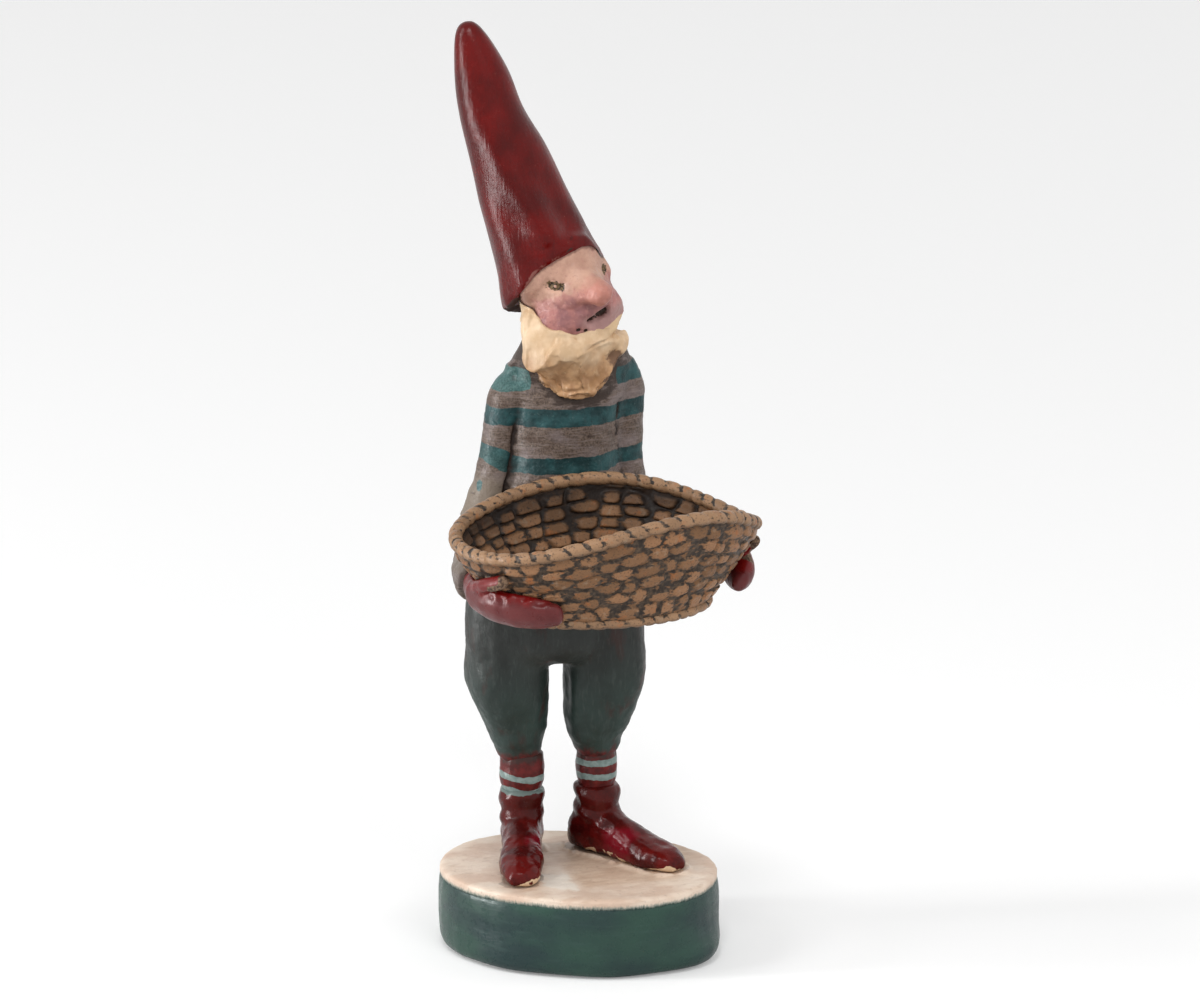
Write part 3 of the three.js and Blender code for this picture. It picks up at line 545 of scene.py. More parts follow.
def face_paint():
    """Face: beige forehead, mauve cheeks, salmon nose, dark eyes and mouth, beard cream at the chin,
    painted shade in the hollows and under the hat's brim.
    """
    paint = Paint("face_paint")
    fine = paint.noise(0.7 * mm, 5, seed=1)
    soft = paint.noise(3.5 * mm, seed=2)
    paint.color = paint.mottled(soft, 0.3, 0.7, (172, 132, 114), (192, 152, 132))
    cheek = paint.frayed("cheek", 0.3, 2.4 * mm, 5, seed=7)
    blush = paint.mottled(soft, 0.36, 0.64, (164, 112, 104), (182, 132, 122))
    mauve = paint.mottled(soft, 0.36, 0.64, (138, 94, 94), (166, 112, 106))
    paint.cover(cheek, 0.05, 0.5, blush)
    paint.cover(cheek, 0.4, 1.0, mauve)
    paint.blend("nose", (180, 120, 106))
    paint.blend("chin", (166, 130, 126))
    paint.cover(fine, 0.56, 0.7, (196, 156, 142), 0.25)
    paint.cover(fine, 0.42, 0.3, (140, 92, 88), 0.4)
    # Painted shade: darker in the hollows.
    paint.cover("hollow", 0.56, 0.9, (112, 70, 66), 0.7)
    # Painted shade: a brown band on the skin under the hat's brim and its corner.
    paint.blend("brow", (126, 88, 78))
    paint.cover(paint.frayed("bearded", 0.25, 1.5 * mm, seed=12), 0.4, 0.6, (208, 178, 140))
    pit = paint.mottled(paint.noise(0.5 * mm, 3, seed=9), 0.42, 0.58, (40, 28, 18), (116, 94, 66))
    paint.cover(paint.frayed("eye", 0.225, 0.7 * mm, 5, seed=10), 0.28, 0.4, pit)
    paint.cover(paint.frayed("mouth", 0.175, 0.7 * mm, 5, seed=10), 0.4, 0.6, (44, 26, 18))
    plaster = paint.noise(2 * mm, seed=4)
    return paint.finish(0.32, 0.5, 0.28, (fine, 0.1 * mm), (plaster, 0.16 * mm))


def beard_paint():
    """Beard: cream over peach tan, the tan toward the bottom partly painted shade; painted shade in
    the hollows and deep cuts.
    """
    paint = Paint("beard_cream")
    strokes = paint.noise(0.8 * mm, 4, (1, 1, 4), seed=1)
    tan = paint.mottled(paint.noise(3 * mm, seed=8), 0.35, 0.65, (152, 111, 76), (184, 142, 102))
    paint.color = paint.mottled(paint.noise(6 * mm, 3), 0.35, 0.65, (196, 165, 130), (215, 188, 156))
    # Peach tan toward the bottom: partly the paint's own tone, partly painted shade.
    paint.blend("low", tan)
    paint.cover(strokes, 0.56, 0.75, (226, 202, 170), 0.3)
    # Painted shade: tan in the hollows, dark brown in the deep cuts.
    paint.cover("hollow", 0.56, 0.8, (164, 124, 84), 0.6)
    paint.cover("hollow", 0.86, 1.0, (74, 54, 40), 0.9)
    # A brown smear, partly painted shade in the notch cut at the elf's left.
    paint.cover(paint.frayed("smear", 0.25, 1.2 * mm, 5, seed=9), 0.35, 0.7, (104, 76, 58), 0.9)
    fine = paint.noise(0.9 * mm, seed=3)
    return paint.finish(0.38, 0.55, 0.3, (strokes, 0.1 * mm), (fine, 0.1 * mm))


def wicker_paint(name, light, bloom, wash, shine):
    """Basket: brown cells with an orange bloom, scumbled over a dark wash."""
    paint = Paint(name)
    paint.color = paint.mottled("cell", 0.1, 0.9, light, bloom)
    paint.cover(paint.noise(3 * mm, seed=3), 0.56, 0.72, (166, 98, 50), 0.55)
    paint.cover(paint.noise(0.5 * mm, seed=4), 0.54, 0.68, (74, 58, 48), 0.7)
    paint.cover(paint.noise(2 * mm, 5, seed=9), 0.58, 0.7, (150, 128, 106), 0.5)
    depth = paint.frayed("recess", 0.9, 1.0 * mm, 5, (2, 2, 1), seed=5)
    depth = paint.frayed(depth, 0.275, 5 * mm, 3, seed=10)
    under = paint.mottled(paint.noise(1.2 * mm, seed=8), 0.4, 0.7, wash, (96, 80, 66))
    paint.cover(depth, 0.45, 0.85, under)
    paint.blend("shade", (22, 14, 10))
    return paint.finish(0.32, 0.48, shine, (paint.noise(1.0 * mm, 5, seed=7), 0.2 * mm))


def side_green(paint):
    """Dark green of the plinth's side, brushed along."""
    strokes = paint.noise(1.2 * mm, 4, (9, 9, 1), seed=1)
    cloud = paint.noise(12 * mm, 3, (2, 2, 1), seed=2)
    color = paint.mottled(cloud, 0.35, 0.65, (32, 52, 52), (42, 70, 60))
    return paint.layer(paint.ramp(strokes, 0.5, 0.75, 0, 0.3), color, (62, 84, 80))


def plinth_paint():
    """Plinth side: satin green with a few cream scratches."""
    paint = Paint("plinth_green")
    scratches = paint.noise(0.9 * mm, 4, (5, 5, 1), seed=4)
    paint.color = side_green(paint)
    paint.cover(scratches, 0.72, 0.78, (150, 146, 132), 0.35)
    waves = paint.noise(4 * mm, 3, seed=6)
    return paint.finish(0.24, 0.38, 0.3, (scratches, 0.06 * mm), (waves, 0.06 * mm))


def snow_paint():
    """Plinth top: cream with tan dry brushing, a dark wash and painted shadow round the boots, green
    below its edge.
    """
    paint = Paint("plinth_cream")
    strokes = paint.noise(0.8 * mm, 4, (6, 2.5, 1), seed=1)
    cloud = paint.noise(8 * mm, 4, (1.6, 1, 1), seed=2)
    paint.color = paint.mottled(cloud, 0.36, 0.62, (206, 180, 160), (224, 206, 188))
    paint.blend("tan", paint.mottled(strokes, 0.4, 0.65, (198, 170, 147), (214, 190, 168)))
    paint.cover(strokes, 0.54, 0.72, (186, 158, 134), 0.4)
    paint.cover(paint.noise(1.2 * mm, 5, seed=13), 0.62, 0.7, (150, 124, 106), 0.35)
    paint.blend("white", (226, 214, 200))
    # Dark wash and painted shadow round the boots, strongest behind them.
    paint.cover(paint.frayed("feet", 0.25, 1.2 * mm, 5, seed=13), 0.3, 0.9, (112, 92, 82), 0.5)
    drop = paint.frayed(paint.height(), 0.2 * mm, 4 * mm, 4, (1.5, 1.5, 1), seed=3)
    drop = paint.frayed(drop, 0.5 * mm, 0.5 * mm, 4, (1, 1, 3), seed=4)
    border = plinth_top + 0.1 * mm
    paint.cover(drop, border + 0.5 * mm, border - 0.5 * mm, (132, 138, 128))
    paint.cover(drop, border - 0.2 * mm, border - 1.0 * mm, side_green(paint))
    grit = paint.noise(2.2 * mm, 5, seed=3)
    return paint.finish(0.36, 0.52, 0.3, (strokes, 0.12 * mm), (grit, 0.22 * mm))


def plain_paint(name, color, roughness_value, metallic=0.0, grain=(1, 1, 1)):
    """For what is inside or underneath: one colour, a little grain."""
    paint = Paint(name)
    fine = paint.noise(0.8 * mm, 4, grain)
    full = tint(*color)
    darker = [0.7 * channel for channel in full[:3]] + [1]
    paint.set("Base Color", paint.mottled(fine, 0.3, 0.7, darker, full))
    paint.set("Roughness", roughness_value)
    paint.shader.inputs["Metallic"].default_value = metallic
    paint.bump((fine, 0.05 * mm))
    return paint.material


# Pieces


def worn(name, node, voxel, rounds):
    """Even skin round a casting, its edges worn by rounds of smoothing."""
    thing = remeshed(name, [cad_mesh(node)], voxel)
    relax(thing, rounds)
    return thing


def from_middle(points):
    """Level direction away from the figurine's middle, and 1 near the plinth's edge, 0 inside."""
    outward = points * np.array([1, 1, 0])
    away = np.linalg.norm(outward, axis=1)
    return outward / np.maximum(away, mm)[:, None], smooth(away, 20 * mm, 27 * mm)


def make_plinth():
    """Plinth with a full side and a well rounded lower edge."""
    block = worn("plinth_block", "plinth", 0.6 * mm, 12)
    points = points_of(block)
    outward, rim = from_middle(points)
    level = points[:, 2] / plinth_top
    bearing = np.degrees(np.arctan2(points[:, 1], points[:, 0]))
    corners = 2.1 * bell(bearing, -46, 17) + 0.8 * bell(bearing, -150, 18)
    swell = 0.3 * smooth(level, 0.2, 0.5) * smooth(level, 1.0, 0.7)
    swell -= 0.35 * smooth(level, 0.25, 0.05)
    swell += 0.35 * smooth(level, 0.45, 0.2) * smooth(points[:, 0], 5 * mm, 28 * mm)
    swell += corners * smooth(level, 0.6, 0.15)
    set_points(block, points + outward * (mm * swell * rim)[:, None])
    push(block, 0.3 * mm * roughness(points, 16 * mm, 11, 2))
    finished(block, plinth_paint(), "plinth_green", "plinth")


def make_snow():
    """Top coat, drawn down over the plinth's edge and raised a little against the boots."""
    coat = worn("plinth_top_coat", "plinth_snow", 0.45 * mm, 12)
    points = points_of(coat)
    outward, rim = from_middle(points)
    skirt = rim * smooth(points[:, 2], plinth_top + 1.0 * mm, plinth_top + 0.5 * mm)
    buried = smooth(points[:, 2], plinth_top + 0.7 * mm, plinth_top)
    points += mm * (0.3 * skirt - 1.1 * buried * skirt)[:, None] * outward
    points[:, 2] -= 1.5 * mm * skirt
    set_points(coat, points)
    roughen(coat, 0.16 * mm, 7 * mm, 21, 4)
    near = np.full(len(points), np.inf)
    for ankle, turn in ((right_ankle, right_foot_turn), (left_ankle, left_foot_turn)):
        x, y, z = foot_local(points, ankle, turn).T
        near = np.minimum(near, np.hypot(x, y - np.clip(y, -25, 4)))
    x, y, z = points.T / mm
    rag = roughness(points, 3 * mm, 5)
    lip = bell(near + 0.5 * rag, 6.0, 0.8) * smooth(rag, -0.4, 0.2) * smooth(x + 0.4 * y, -2, 2)
    points = points_of(coat)
    points[:, 2] += 0.7 * mm * lip * smooth(points[:, 2], snow_top - mm, snow_top - 0.5 * mm)
    set_points(coat, points)
    # Dark wash and painted shadow round the boots, strongest at -X and behind them.
    behind = smooth(x, 2, -3) + smooth(y, 0, 8)
    mark(coat, feet=np.clip(behind, 0.25, 1) * smooth(near + 0.8 * rag, 5.6, 4.8))
    mark(coat, white=smooth(np.hypot((x + 10) / 4.5, (y + 12) / 8) + 0.35 * rag, 1.1, 0.8))
    between = smooth(x, -6, -3) * smooth(y, -21, -17) * smooth(y, 17, 13)
    between *= smooth(x - 0.6 * y, 38, 28)
    mark(coat, tan=np.clip((between + 0.25 * rag * between) * (1 - lip), 0, 1))
    finished(coat, snow_paint(), "plinth_cream", "plinth_snow")


def foot_local(points, ankle, turn):
    """Points in a boot's own frame, in millimetres: the ankle at the origin, the toe at -Y."""
    axes = np.array(Matrix.Rotation(math.radians(turn), 3, "Z"))
    return (points - np.array(ankle)) @ axes / mm


def make_boot(side, ankle, turn, material, stripe_height, seed):
    """Boot with soft folds round its shaft, and a stripe where its height lies on the boot."""
    boot = worn(f"{side}_boot_shape", f"{side}_boot", 0.34 * mm, 14)
    x, y, z = foot_local(points_of(boot), ankle, turn).T
    around = np.arctan2(x, -y)
    height = z + 0.8 * np.sin(around + seed) + 0.6 * np.sin(2 * around + 2 * seed)
    folds = 0.35 * bell(height, 15.6, 1.6) - 0.3 * bell(height, 12.6, 1.2)
    folds += 0.2 * bell(height, 10.4, 1.4) - 0.15 * bell(height, 8.4, 1.2)
    push(boot, mm * folds * smooth(y, -8, -4))
    roughen(boot, 0.32 * mm, 4.5 * mm, seed, swell=0.1 * mm)
    mark_hollows(boot, 20, 0.45 * mm)
    points = points_of(boot)
    x, y, z = foot_local(points, ankle, turn).T
    aside = x if side == "right" else -x
    crumbs = smooth(roughness(points, 2.5 * mm, seed), -0.5, 0.3)
    wet = (0.7 * smooth(aside, -4, 0) + 1.2 * smooth(aside, 0, 3)) * smooth(y, 2, -4) * crumbs
    mark(
        boot,
        crimson=bell(y, -12, 6) * smooth(aside, -1, 1.5) * smooth(z, 10, 7),
        level=points[:, 2] - stripe_height,
        rise=points[:, 2] - sole - mm * wet,
    )
    finished(boot, material, "boot_red", f"{side}_boot")


def make_sock(side, ankle, material, stripe_height, seed):
    """Sock band, its ends tucked into the boot and under the hem."""
    sock = worn(f"{side}_sock_shape", f"{side}_sock", 0.35 * mm, 6)
    points = points_of(sock)
    level = points[:, 2] / mm
    slim = 0.06 * smooth(level, 41.3, 40.2) + (0.07 if side == "left" else 0)
    points[:, :2] -= slim[:, None] * (points[:, :2] - np.array(ankle)[:2])
    points[:, 2] += 0.8 * mm * (smooth(level, 46.6, 48) - smooth(level, 41.3, 39.9))
    set_points(sock, points)
    roughen(sock, 0.2 * mm, 3 * mm, seed, swell=0.1 * mm)
    x, y, z = points_of(sock).T
    sag = 0.8 * mm * smooth(ankle[0] - x, 1 * mm, 5 * mm) if side == "right" else 0
    mark(sock, level=z - stripe_height - sag)
    mark_hollows(sock, 16, 0.4 * mm)
    finished(sock, material, "sock_stripes", f"{side}_sock")


def make_trousers():
    """Trousers, with hems drawn down and in over the socks."""
    trousers = remeshed("trousers_shape", [cad_mesh("trousers")], 0.5 * mm)
    relax(trousers, 45, crisp_edges(trousers))
    relax(trousers, 3)
    x, y, z = points_of(trousers).T / mm
    turned = normals_of(trousers)[:, 0]
    left_calf = smooth(x, 0, 2) * smooth(z, 78, 64) * smooth(z, 47, 54)
    fuller = left_calf * (1.4 * smooth(turned, 0.2, -0.9) + 0.8 * smooth(turned, 0, 0.9))
    fuller += 0.7 * smooth(x, 0, -2) * smooth(turned, 0, -0.9) * smooth(z, 78, 66)
    push(trousers, mm * fuller)
    relax(trousers, 12, crisp_edges(trousers))
    points = points_of(trousers)
    level = (points[:, 2] - trouser_hem) / mm
    for ankle, side in ((right_ankle, -1), (left_ankle, 1)):
        narrowed = 0.04 * smooth(level, 5, 1) + 0.14 * smooth(level, 1.6, 0)
        narrowed *= side * points[:, 0] > 0
        points[:, :2] -= narrowed[:, None] * (points[:, :2] - np.array(ankle)[:2])
    points[:, 2] -= 1.8 * mm * smooth(level, 3, 0.3)
    set_points(trousers, points)
    drape = roughness(points * np.array([1, 1, 0.35]), 6 * mm, 31, 2)
    creases = roughness(points * np.array([0.5, 0.5, 1]), 3.5 * mm, 37, 2)
    creases *= smooth(points[:, 2], 66 * mm, 56 * mm)
    push(trousers, mm * (0.4 * drape + 0.35 * creases))
    roughen(trousers, 0.1 * mm, 2.2 * mm, 35)
    mark_hollows(trousers, 40, 0.55 * mm)
    finished(trousers, trouser_paint(), "trouser_green", "trousers")


def make_jersey():
    """Trunk and sleeves as one skin, drawn in at the seams between them."""
    shells = []
    nodes = ("jersey_body", "right_sleeve", "left_sleeve")
    for node in nodes:
        shell = remeshed(f"{node}_shell", [cad_mesh(node)], 0.55 * mm)
        relax(shell, 30, crisp_edges(shell))
        push(shell, np.full(len(shell.data.vertices), 0.3 * mm))
        shells.append(shell)
    jersey = remeshed("jersey_shape", [shell.data for shell in shells], 0.45 * mm)
    for shell in shells:
        bpy.data.objects.remove(shell)
    relax(jersey, 10)
    points = points_of(jersey)
    x, y, z = points.T / mm
    broken = roughness(points, 3 * mm, 39)
    right_crease = bell(x + 16.3 + 0.13 * (130 - z) + 0.5 * broken, 0, 0.55) * smooth(z, 141, 135)
    left_crease = bell(x - 11.6 + 0.5 * broken, 0, 0.7) * smooth(z, 144, 141) * smooth(z, 124, 130)
    creases = np.maximum(0.75 * right_crease, left_crease)
    creases *= smooth(y, 8, 5) * smooth(broken, -0.7, 0.1)
    push(jersey, mm * (0.3 * roughness(points, 8 * mm, 41) - 0.15 - 1.1 * creases))
    points = points_of(jersey)
    strokes = swells(points * np.array([0.25, 0.25, 1]), 0.9 * mm, 45)
    push(jersey, 0.08 * mm * strokes + 0.1 * mm * roughness(points, 2 * mm, 47, 2))
    mark_hollows(jersey, 45, 0.8 * mm)
    points = points_of(jersey) / mm
    x, y, z = points.T
    tilted = z - 0.55 * np.clip(-16 - x, 0, 8) * smooth(z, 136, 130)
    taller = smooth(x, -15, -18) * smooth(z, 136, 132)
    taller += 0.6 * smooth(x, -11, -14) * smooth(z, 144, 147)
    away = np.min([np.abs(tilted - middle) - half for middle, half in stripes], axis=0) - taller
    bare = smooth(np.abs(x + 0.5), 11.5, 10) * smooth(z, 145, 147) * (y < 8)
    spot = np.linalg.norm((points - sleeve_spot) * np.array([1, 1, 0.7]), axis=1) - 1.1
    mark(jersey, stripe=mm * np.minimum(away + 8 * bare, spot))
    # Left shoulder and elbow: paler teal paint, together with painted highlight.
    shoulder = smooth(x, -9, -12) * smooth(z, 145, 147)
    elbow = smooth(x, -16, -19) * smooth(z, 134, 131)
    mark(jersey, bright=np.clip(0.8 * shoulder + 0.4 * elbow, 0, 1))
    # Paler lower outer sleeve: partly the paint's tone, partly painted sheen.
    mark(jersey, pale=smooth(z, 127, 121) * smooth(x, -15, -19) * smooth(z, 106, 112))
    beside_beard = smooth(np.abs(x - 0.5) - (z - 145) - 6, 4.5, 0) * smooth(z, 141, 144) * (y < 8)
    mark(jersey, shade=0.95 * np.maximum(beside_beard, smooth(z, 152, 155)))
    # Painted shade along the armpit creases.
    mark(jersey, crease=np.clip(1.1 * creases, 0, 1))
    finished(jersey, jersey_paint(), "jersey_stripes", *nodes)


def make_mitten(side, material, thumb_tip, thumb_root, seed):
    """Mitten, crinkled along its upper edge, brown at the tip of its thumb, with painted shade beneath
    the thumb.
    """
    mitten = worn(f"{side}_mitten_shape", f"{side}_mitten", 0.34 * mm, 12)
    roughen(mitten, 0.18 * mm, 5 * mm, seed, 2, 0.15 * mm)
    x, y, z = points_of(mitten).T / mm
    crinkled = bell(z, 108.3, 1.5) * smooth(y, -38, -42)
    roughen(mitten, 0.5 * mm * crinkled, 2.4 * mm, seed + 4, 2)
    mark_hollows(mitten, 20, 0.45 * mm)
    points = points_of(mitten)
    height = points[:, 2] / mm + 0.8 * swells(points, 3 * mm, seed)
    mark(mitten, upper=smooth(height, 106.8, 109))
    tip = np.array(thumb_tip) * mm
    thumb = np.array(thumb_root) * mm - tip
    along = (points - tip) @ thumb / (thumb @ thumb)
    beside = (points - tip - np.clip(along, 0, 1)[:, None] * thumb) / mm
    # Painted shade: the skin just beneath the thumb gets the tip's brown.
    under = smooth(beside[:, 2], 0.6, -0.2) * smooth(along, 0.8, 0.6)
    grime = np.clip(smooth(along, 0.35, 0.15) + under, 0, 1)
    mark(mitten, tip=grime * smooth(np.linalg.norm(beside, axis=1), 3.2, 2.6))
    finished(mitten, material, "mitten_red", f"{side}_mitten")


# Basket


def wall_top(angle):
    """Height of the wall's upper edge above the basket's foot."""
    level = basket_height - rim_rope - seam
    ends = rim_slope * np.cos(angle) - rim_nod * np.sin(angle)
    saddle = -rim_dip * np.cos(2 * angle) - rim_twist * np.sin(2 * angle)
    return level + ends + saddle - rim_sway * np.cos(3 * angle)


def wall_points(angle, share, inset):
    """Points on the wall's outside, moved in by an inset, for grids of angles and shares."""
    wall_bottom = foot_rope + seam
    flare = share**0.9
    half_length = (basket_foot_length + (basket_length - basket_foot_length) * flare) / 2 - inset
    half_width = (basket_foot_width + (basket_width - basket_foot_width) * flare) / 2 - inset
    low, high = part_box("basket_body")
    x = (low.x + high.x) / 2 + half_length * np.cos(angle)
    y = (low.y + high.y) / 2 + half_width * np.sin(angle)
    z = basket_foot + wall_bottom + share * (wall_top(angle) - wall_bottom)
    return np.stack([x, y, z], axis=-1)


def cobbles(across, up, columns, jitter, square, reach, seed, straight=False):
    """How far inside its cell each place lies, as a share of a cell, and each cell's own number.

    across and up run from 0 to 1. Straight columns stand over each other; others are staggered.
    Cells are round where square is 2 and nearly rectangles where it is 5, and end at their reach.
    """
    column = across * columns
    row = up * cell_rows
    nearest = np.full(across.shape, 9.0)
    second = np.full(across.shape, 9.0)
    number = np.zeros(across.shape)
    for step_row, step in np.ndindex(3, 3):
        cell_row = np.floor(row).astype(np.int64) + step_row - 1
        stagger = 0 if straight else 0.5 * (cell_row % 2)
        cell = np.floor(column - stagger).astype(np.int64) + step - 1
        wrapped = cell % columns
        shift, rise, size, tone = (hashed(wrapped, cell_row, 0, seed + n) for n in range(4))
        lift = 0.6 * (hashed(wrapped, 0, 0, seed + 5) - 0.5) if straight else 0
        dx = column - stagger - cell - 0.5 - jitter * (shift - 0.5)
        dy = row - cell_row - 0.5 - jitter * (rise - 0.5) - lift
        away = (np.abs(dx) ** square + np.abs(dy) ** square) ** (1 / square)
        away *= 0.94 + 0.22 * size
        closer = away < nearest
        second = np.where(closer, nearest, np.minimum(second, away))
        number = np.where(closer, tone, number)
        nearest = np.where(closer, away, nearest)
    return np.minimum(0.5 * (second - nearest), reach - nearest), number


def grid_faces(rows, columns, closed=False):
    """Faces of a grid whose columns close on themselves, and its rows too where closed."""
    stretches = rows if closed else rows - 1
    row, column = np.meshgrid(np.arange(stretches), np.arange(columns), indexing="ij")
    here = row * columns
    above = (row + 1) % rows * columns
    after = (column + 1) % columns
    corners = [here + column, here + after, above + after, above + column]
    return np.stack(corners, axis=-1).reshape(-1, 4)


def built(name, points, faces):
    mesh = bpy.data.meshes.new(name)
    mesh.from_pydata(points.tolist(), [], faces)
    mesh.update()
    return placed(name, mesh)


def outer_sheet(turn, up, bent):
    """Outside of the wall: staggered cobbles, flatter under the rim."""
    inside, cell = cobbles(bent, up, outer_columns, jitter=0.45, square=2.2, reach=0.54, seed=9)
    raised = smooth(inside, -0.02, 0.2) * (1 - 0.6 * smooth(up, 0.88, 0.97))
    relief = 0.8 * mm * raised * (0.8 + 0.2 * cell) * smooth(up, 0, 0.05)
    points = wall_points(turn, up, 0.5 * mm - relief)
    shade = 0.25 * smooth(up, 0.95, 1.0) + 0.15 * (1 - raised)
    return points, 1 - smooth(inside, -0.05, 0.34), cell, shade


def inner_sheet(turn, up, bent):
    """Inside of the wall: bricks in upright columns, darker at the bottom and under the rim."""
    inside, cell = cobbles(
        bent, up, inner_columns, jitter=0.36, square=3, reach=0.56, seed=5, straight=True)
    raised = smooth(inside, -0.02, 0.2)
    relief = 1.1 * mm * raised * (0.8 + 0.2 * cell) * smooth(up, 0, 0.05) * smooth(up, 1, 0.97)
    points = wall_points(turn, up, basket_wall - 0.4 * mm + relief)
    points[..., 2] += basket_wall * (1 - up)
    shade = 0.2 + 0.5 * smooth(up, 0.55, 1.0) + 0.4 * smooth(up, 0.3, 0.0) + 0.6 * (1 - raised)
    return points, 1 - smooth(inside, -0.05, 0.26), cell, shade


def make_basket_wall():
    """Woven shell: up the outside, down the inside and across the floor."""
    across = np.arange(wall_columns) / wall_columns
    rows = outer_rows + inner_rows
    tuck = 0.9 * mm
    layers = []
    for sheet, share in (
        (outer_sheet, np.linspace(0, 1, outer_rows)),
        (inner_sheet, np.linspace(1, 0, inner_rows)),
    ):
        turn, up = np.meshgrid(2 * math.pi * across, share)
        bent = across + 0.003 * np.sin(9 * up + 14 * turn)
        points, recess, cell, shade = sheet(turn, up, bent)
        points[..., 2] += tuck * (smooth(up, 0.93, 1) - smooth(up, 0.07, 0))
        if sheet is inner_sheet:
            shade += 0.25 * swells(points.reshape(-1, 3), 5 * mm, 7).reshape(up.shape)
        layers.append((points, recess, cell, np.clip(shade, 0, 0.95)))
    points, recess, cell, shade = (np.concatenate(parts) for parts in zip(*layers))
    middle_mark = 0.6
    ends = [points[0].mean(axis=0), points[-1].mean(axis=0)]
    faces = grid_faces(rows, wall_columns).tolist()
    outer_end = rows * wall_columns
    inner_start = outer_end - wall_columns
    for k in range(wall_columns):
        after = (k + 1) % wall_columns
        faces.append([outer_end, after, k])
        faces.append([outer_end + 1, inner_start + k, inner_start + after])
    points = np.concatenate([points.reshape(-1, 3), ends])
    wall = built("basket_wall_shape", points, faces)

    def with_ends(values):
        return np.append(np.clip(values, 0, 1), [middle_mark, middle_mark])

    mark(wall, recess=with_ends(recess), cell=with_ends(cell), shade=with_ends(shade))
    material = wicker_paint("basket_brown", (120, 88, 62), (146, 108, 78), (56, 49, 44), 0.14)
    finished(wall, material, "basket_brown", "basket_body")


def make_rope(name, path, diameter, turns, material, node, seed):
    """Rope on a closed path: slanted cuts part it into strands."""
    steps = 20 * turns
    sides = 24
    slant = 1.1
    angle = 2 * math.pi * np.arange(steps) / steps
    ahead = path(angle + 0.01) - path(angle - 0.01)
    side = np.cross(np.array([0, 0, 1]), ahead)
    side /= np.linalg.norm(side, axis=1)[:, None]
    over = np.cross(ahead, side) / np.linalg.norm(ahead, axis=1)[:, None]
    turn, spin = np.meshgrid(angle, 2 * math.pi * np.arange(sides) / sides, indexing="ij")
    drift = 1.6 * np.sin(5 * turn + seed) + 0.9 * np.sin(13 * turn + 2 * seed)
    place = (turns * turn + drift - slant * spin) / (2 * math.pi)
    away = np.abs(place - np.round(place))
    strand = np.floor(place).astype(np.int64) % turns
    tone, depth = (hashed(strand, 0, 0, seed + n) for n in range(2))
    groove = 1 - smooth(away, 0.04, 0.28)
    radius = diameter / 2 * (0.93 + 0.1 * np.sqrt(2 * away) - 0.09 * groove + 0.03 * tone)
    across = (radius * np.cos(spin))[..., None] * side[:, None]
    points = path(angle)[:, None] + across + (radius * np.sin(spin))[..., None] * over[:, None]
    rope = built(name, points.reshape(-1, 3), grid_faces(steps, sides, closed=True).tolist())
    recess = 1.2 * groove * (0.4 + 0.6 * depth) * smooth(np.cos(spin - 1.8), -0.35, 0.3)
    shade = 0.5 * smooth(np.sin(spin), -0.2, -0.9)
    mark(rope, recess=recess.ravel(), cell=tone.ravel(), shade=shade.ravel())
    finished(rope, material, "basket_brown", node)


def rim_path(angle):
    """Middle of the rope on the wall's upper edge."""
    points = wall_points(angle, np.ones_like(angle), basket_wall / 2)
    points[..., 2] += seam + rim_rope / 2
    return points


def foot_path(angle):
    """Middle of the rope that the basket stands on."""
    points = wall_points(angle, np.zeros_like(angle), foot_rope / 2)
    points[..., 2] = basket_foot + foot_rope / 2
    return points


# Head


def head_local(points):
    """Points in the head's own frame, in millimetres: the face looks along -Y."""
    return (points - np.array(head_place)) @ head_axes / mm


def turned_aside(local):
    """Degrees by which points of the head's frame lie to the elf's left of the face's middle."""
    return np.degrees(np.arctan2(local[:, 0], -local[:, 1]))


def brim_height(points):
    """Height in millimetres above the slanted edge of the hat."""
    x, y, z = head_local(points).T
    return z - (1.2 - math.tan(math.radians(32)) * (y - 1))


def drawn_in(points, distances):
    """Points moved towards the head's upright axis, by distances in millimetres."""
    local = head_local(points) * np.array([1, 1, 0])
    outward = local / np.maximum(np.linalg.norm(local, axis=1), 1)[:, None]
    return points - mm * distances[:, None] * (outward @ head_axes.T)


def skin_radius(thing, local):
    """How far a piece's skin lies from the head's axis, beside points of the head's frame."""
    tree = BVHTree.FromObject(thing, bpy.context.evaluated_depsgraph_get())
    turn = head_turn.to_matrix()
    start_radius = 40
    radii = np.zeros(len(local))
    for index, (x, y, z) in enumerate(local):
        outward = Vector((x, y, 0)).normalized()
        start = head_place + turn @ (outward * start_radius + Vector((0, 0, z))) * mm
        distance = tree.ray_cast(start, turn @ -outward)[3]
        if distance is not None:
            radii[index] = start_radius - distance / mm
    return radii


def gaps(head, local, near, closest, farthest, limits):
    """How far the near points must move in, to lie between two distances from the head's skin."""
    found = np.zeros(len(local))
    radius = np.hypot(local[near, 0], local[near, 1])
    skin = skin_radius(head, local[near])
    gap = np.clip(radius - np.clip(radius, skin + closest, skin + farthest), *limits)
    found[near] = np.where(skin > 0, gap, 0)
    return found


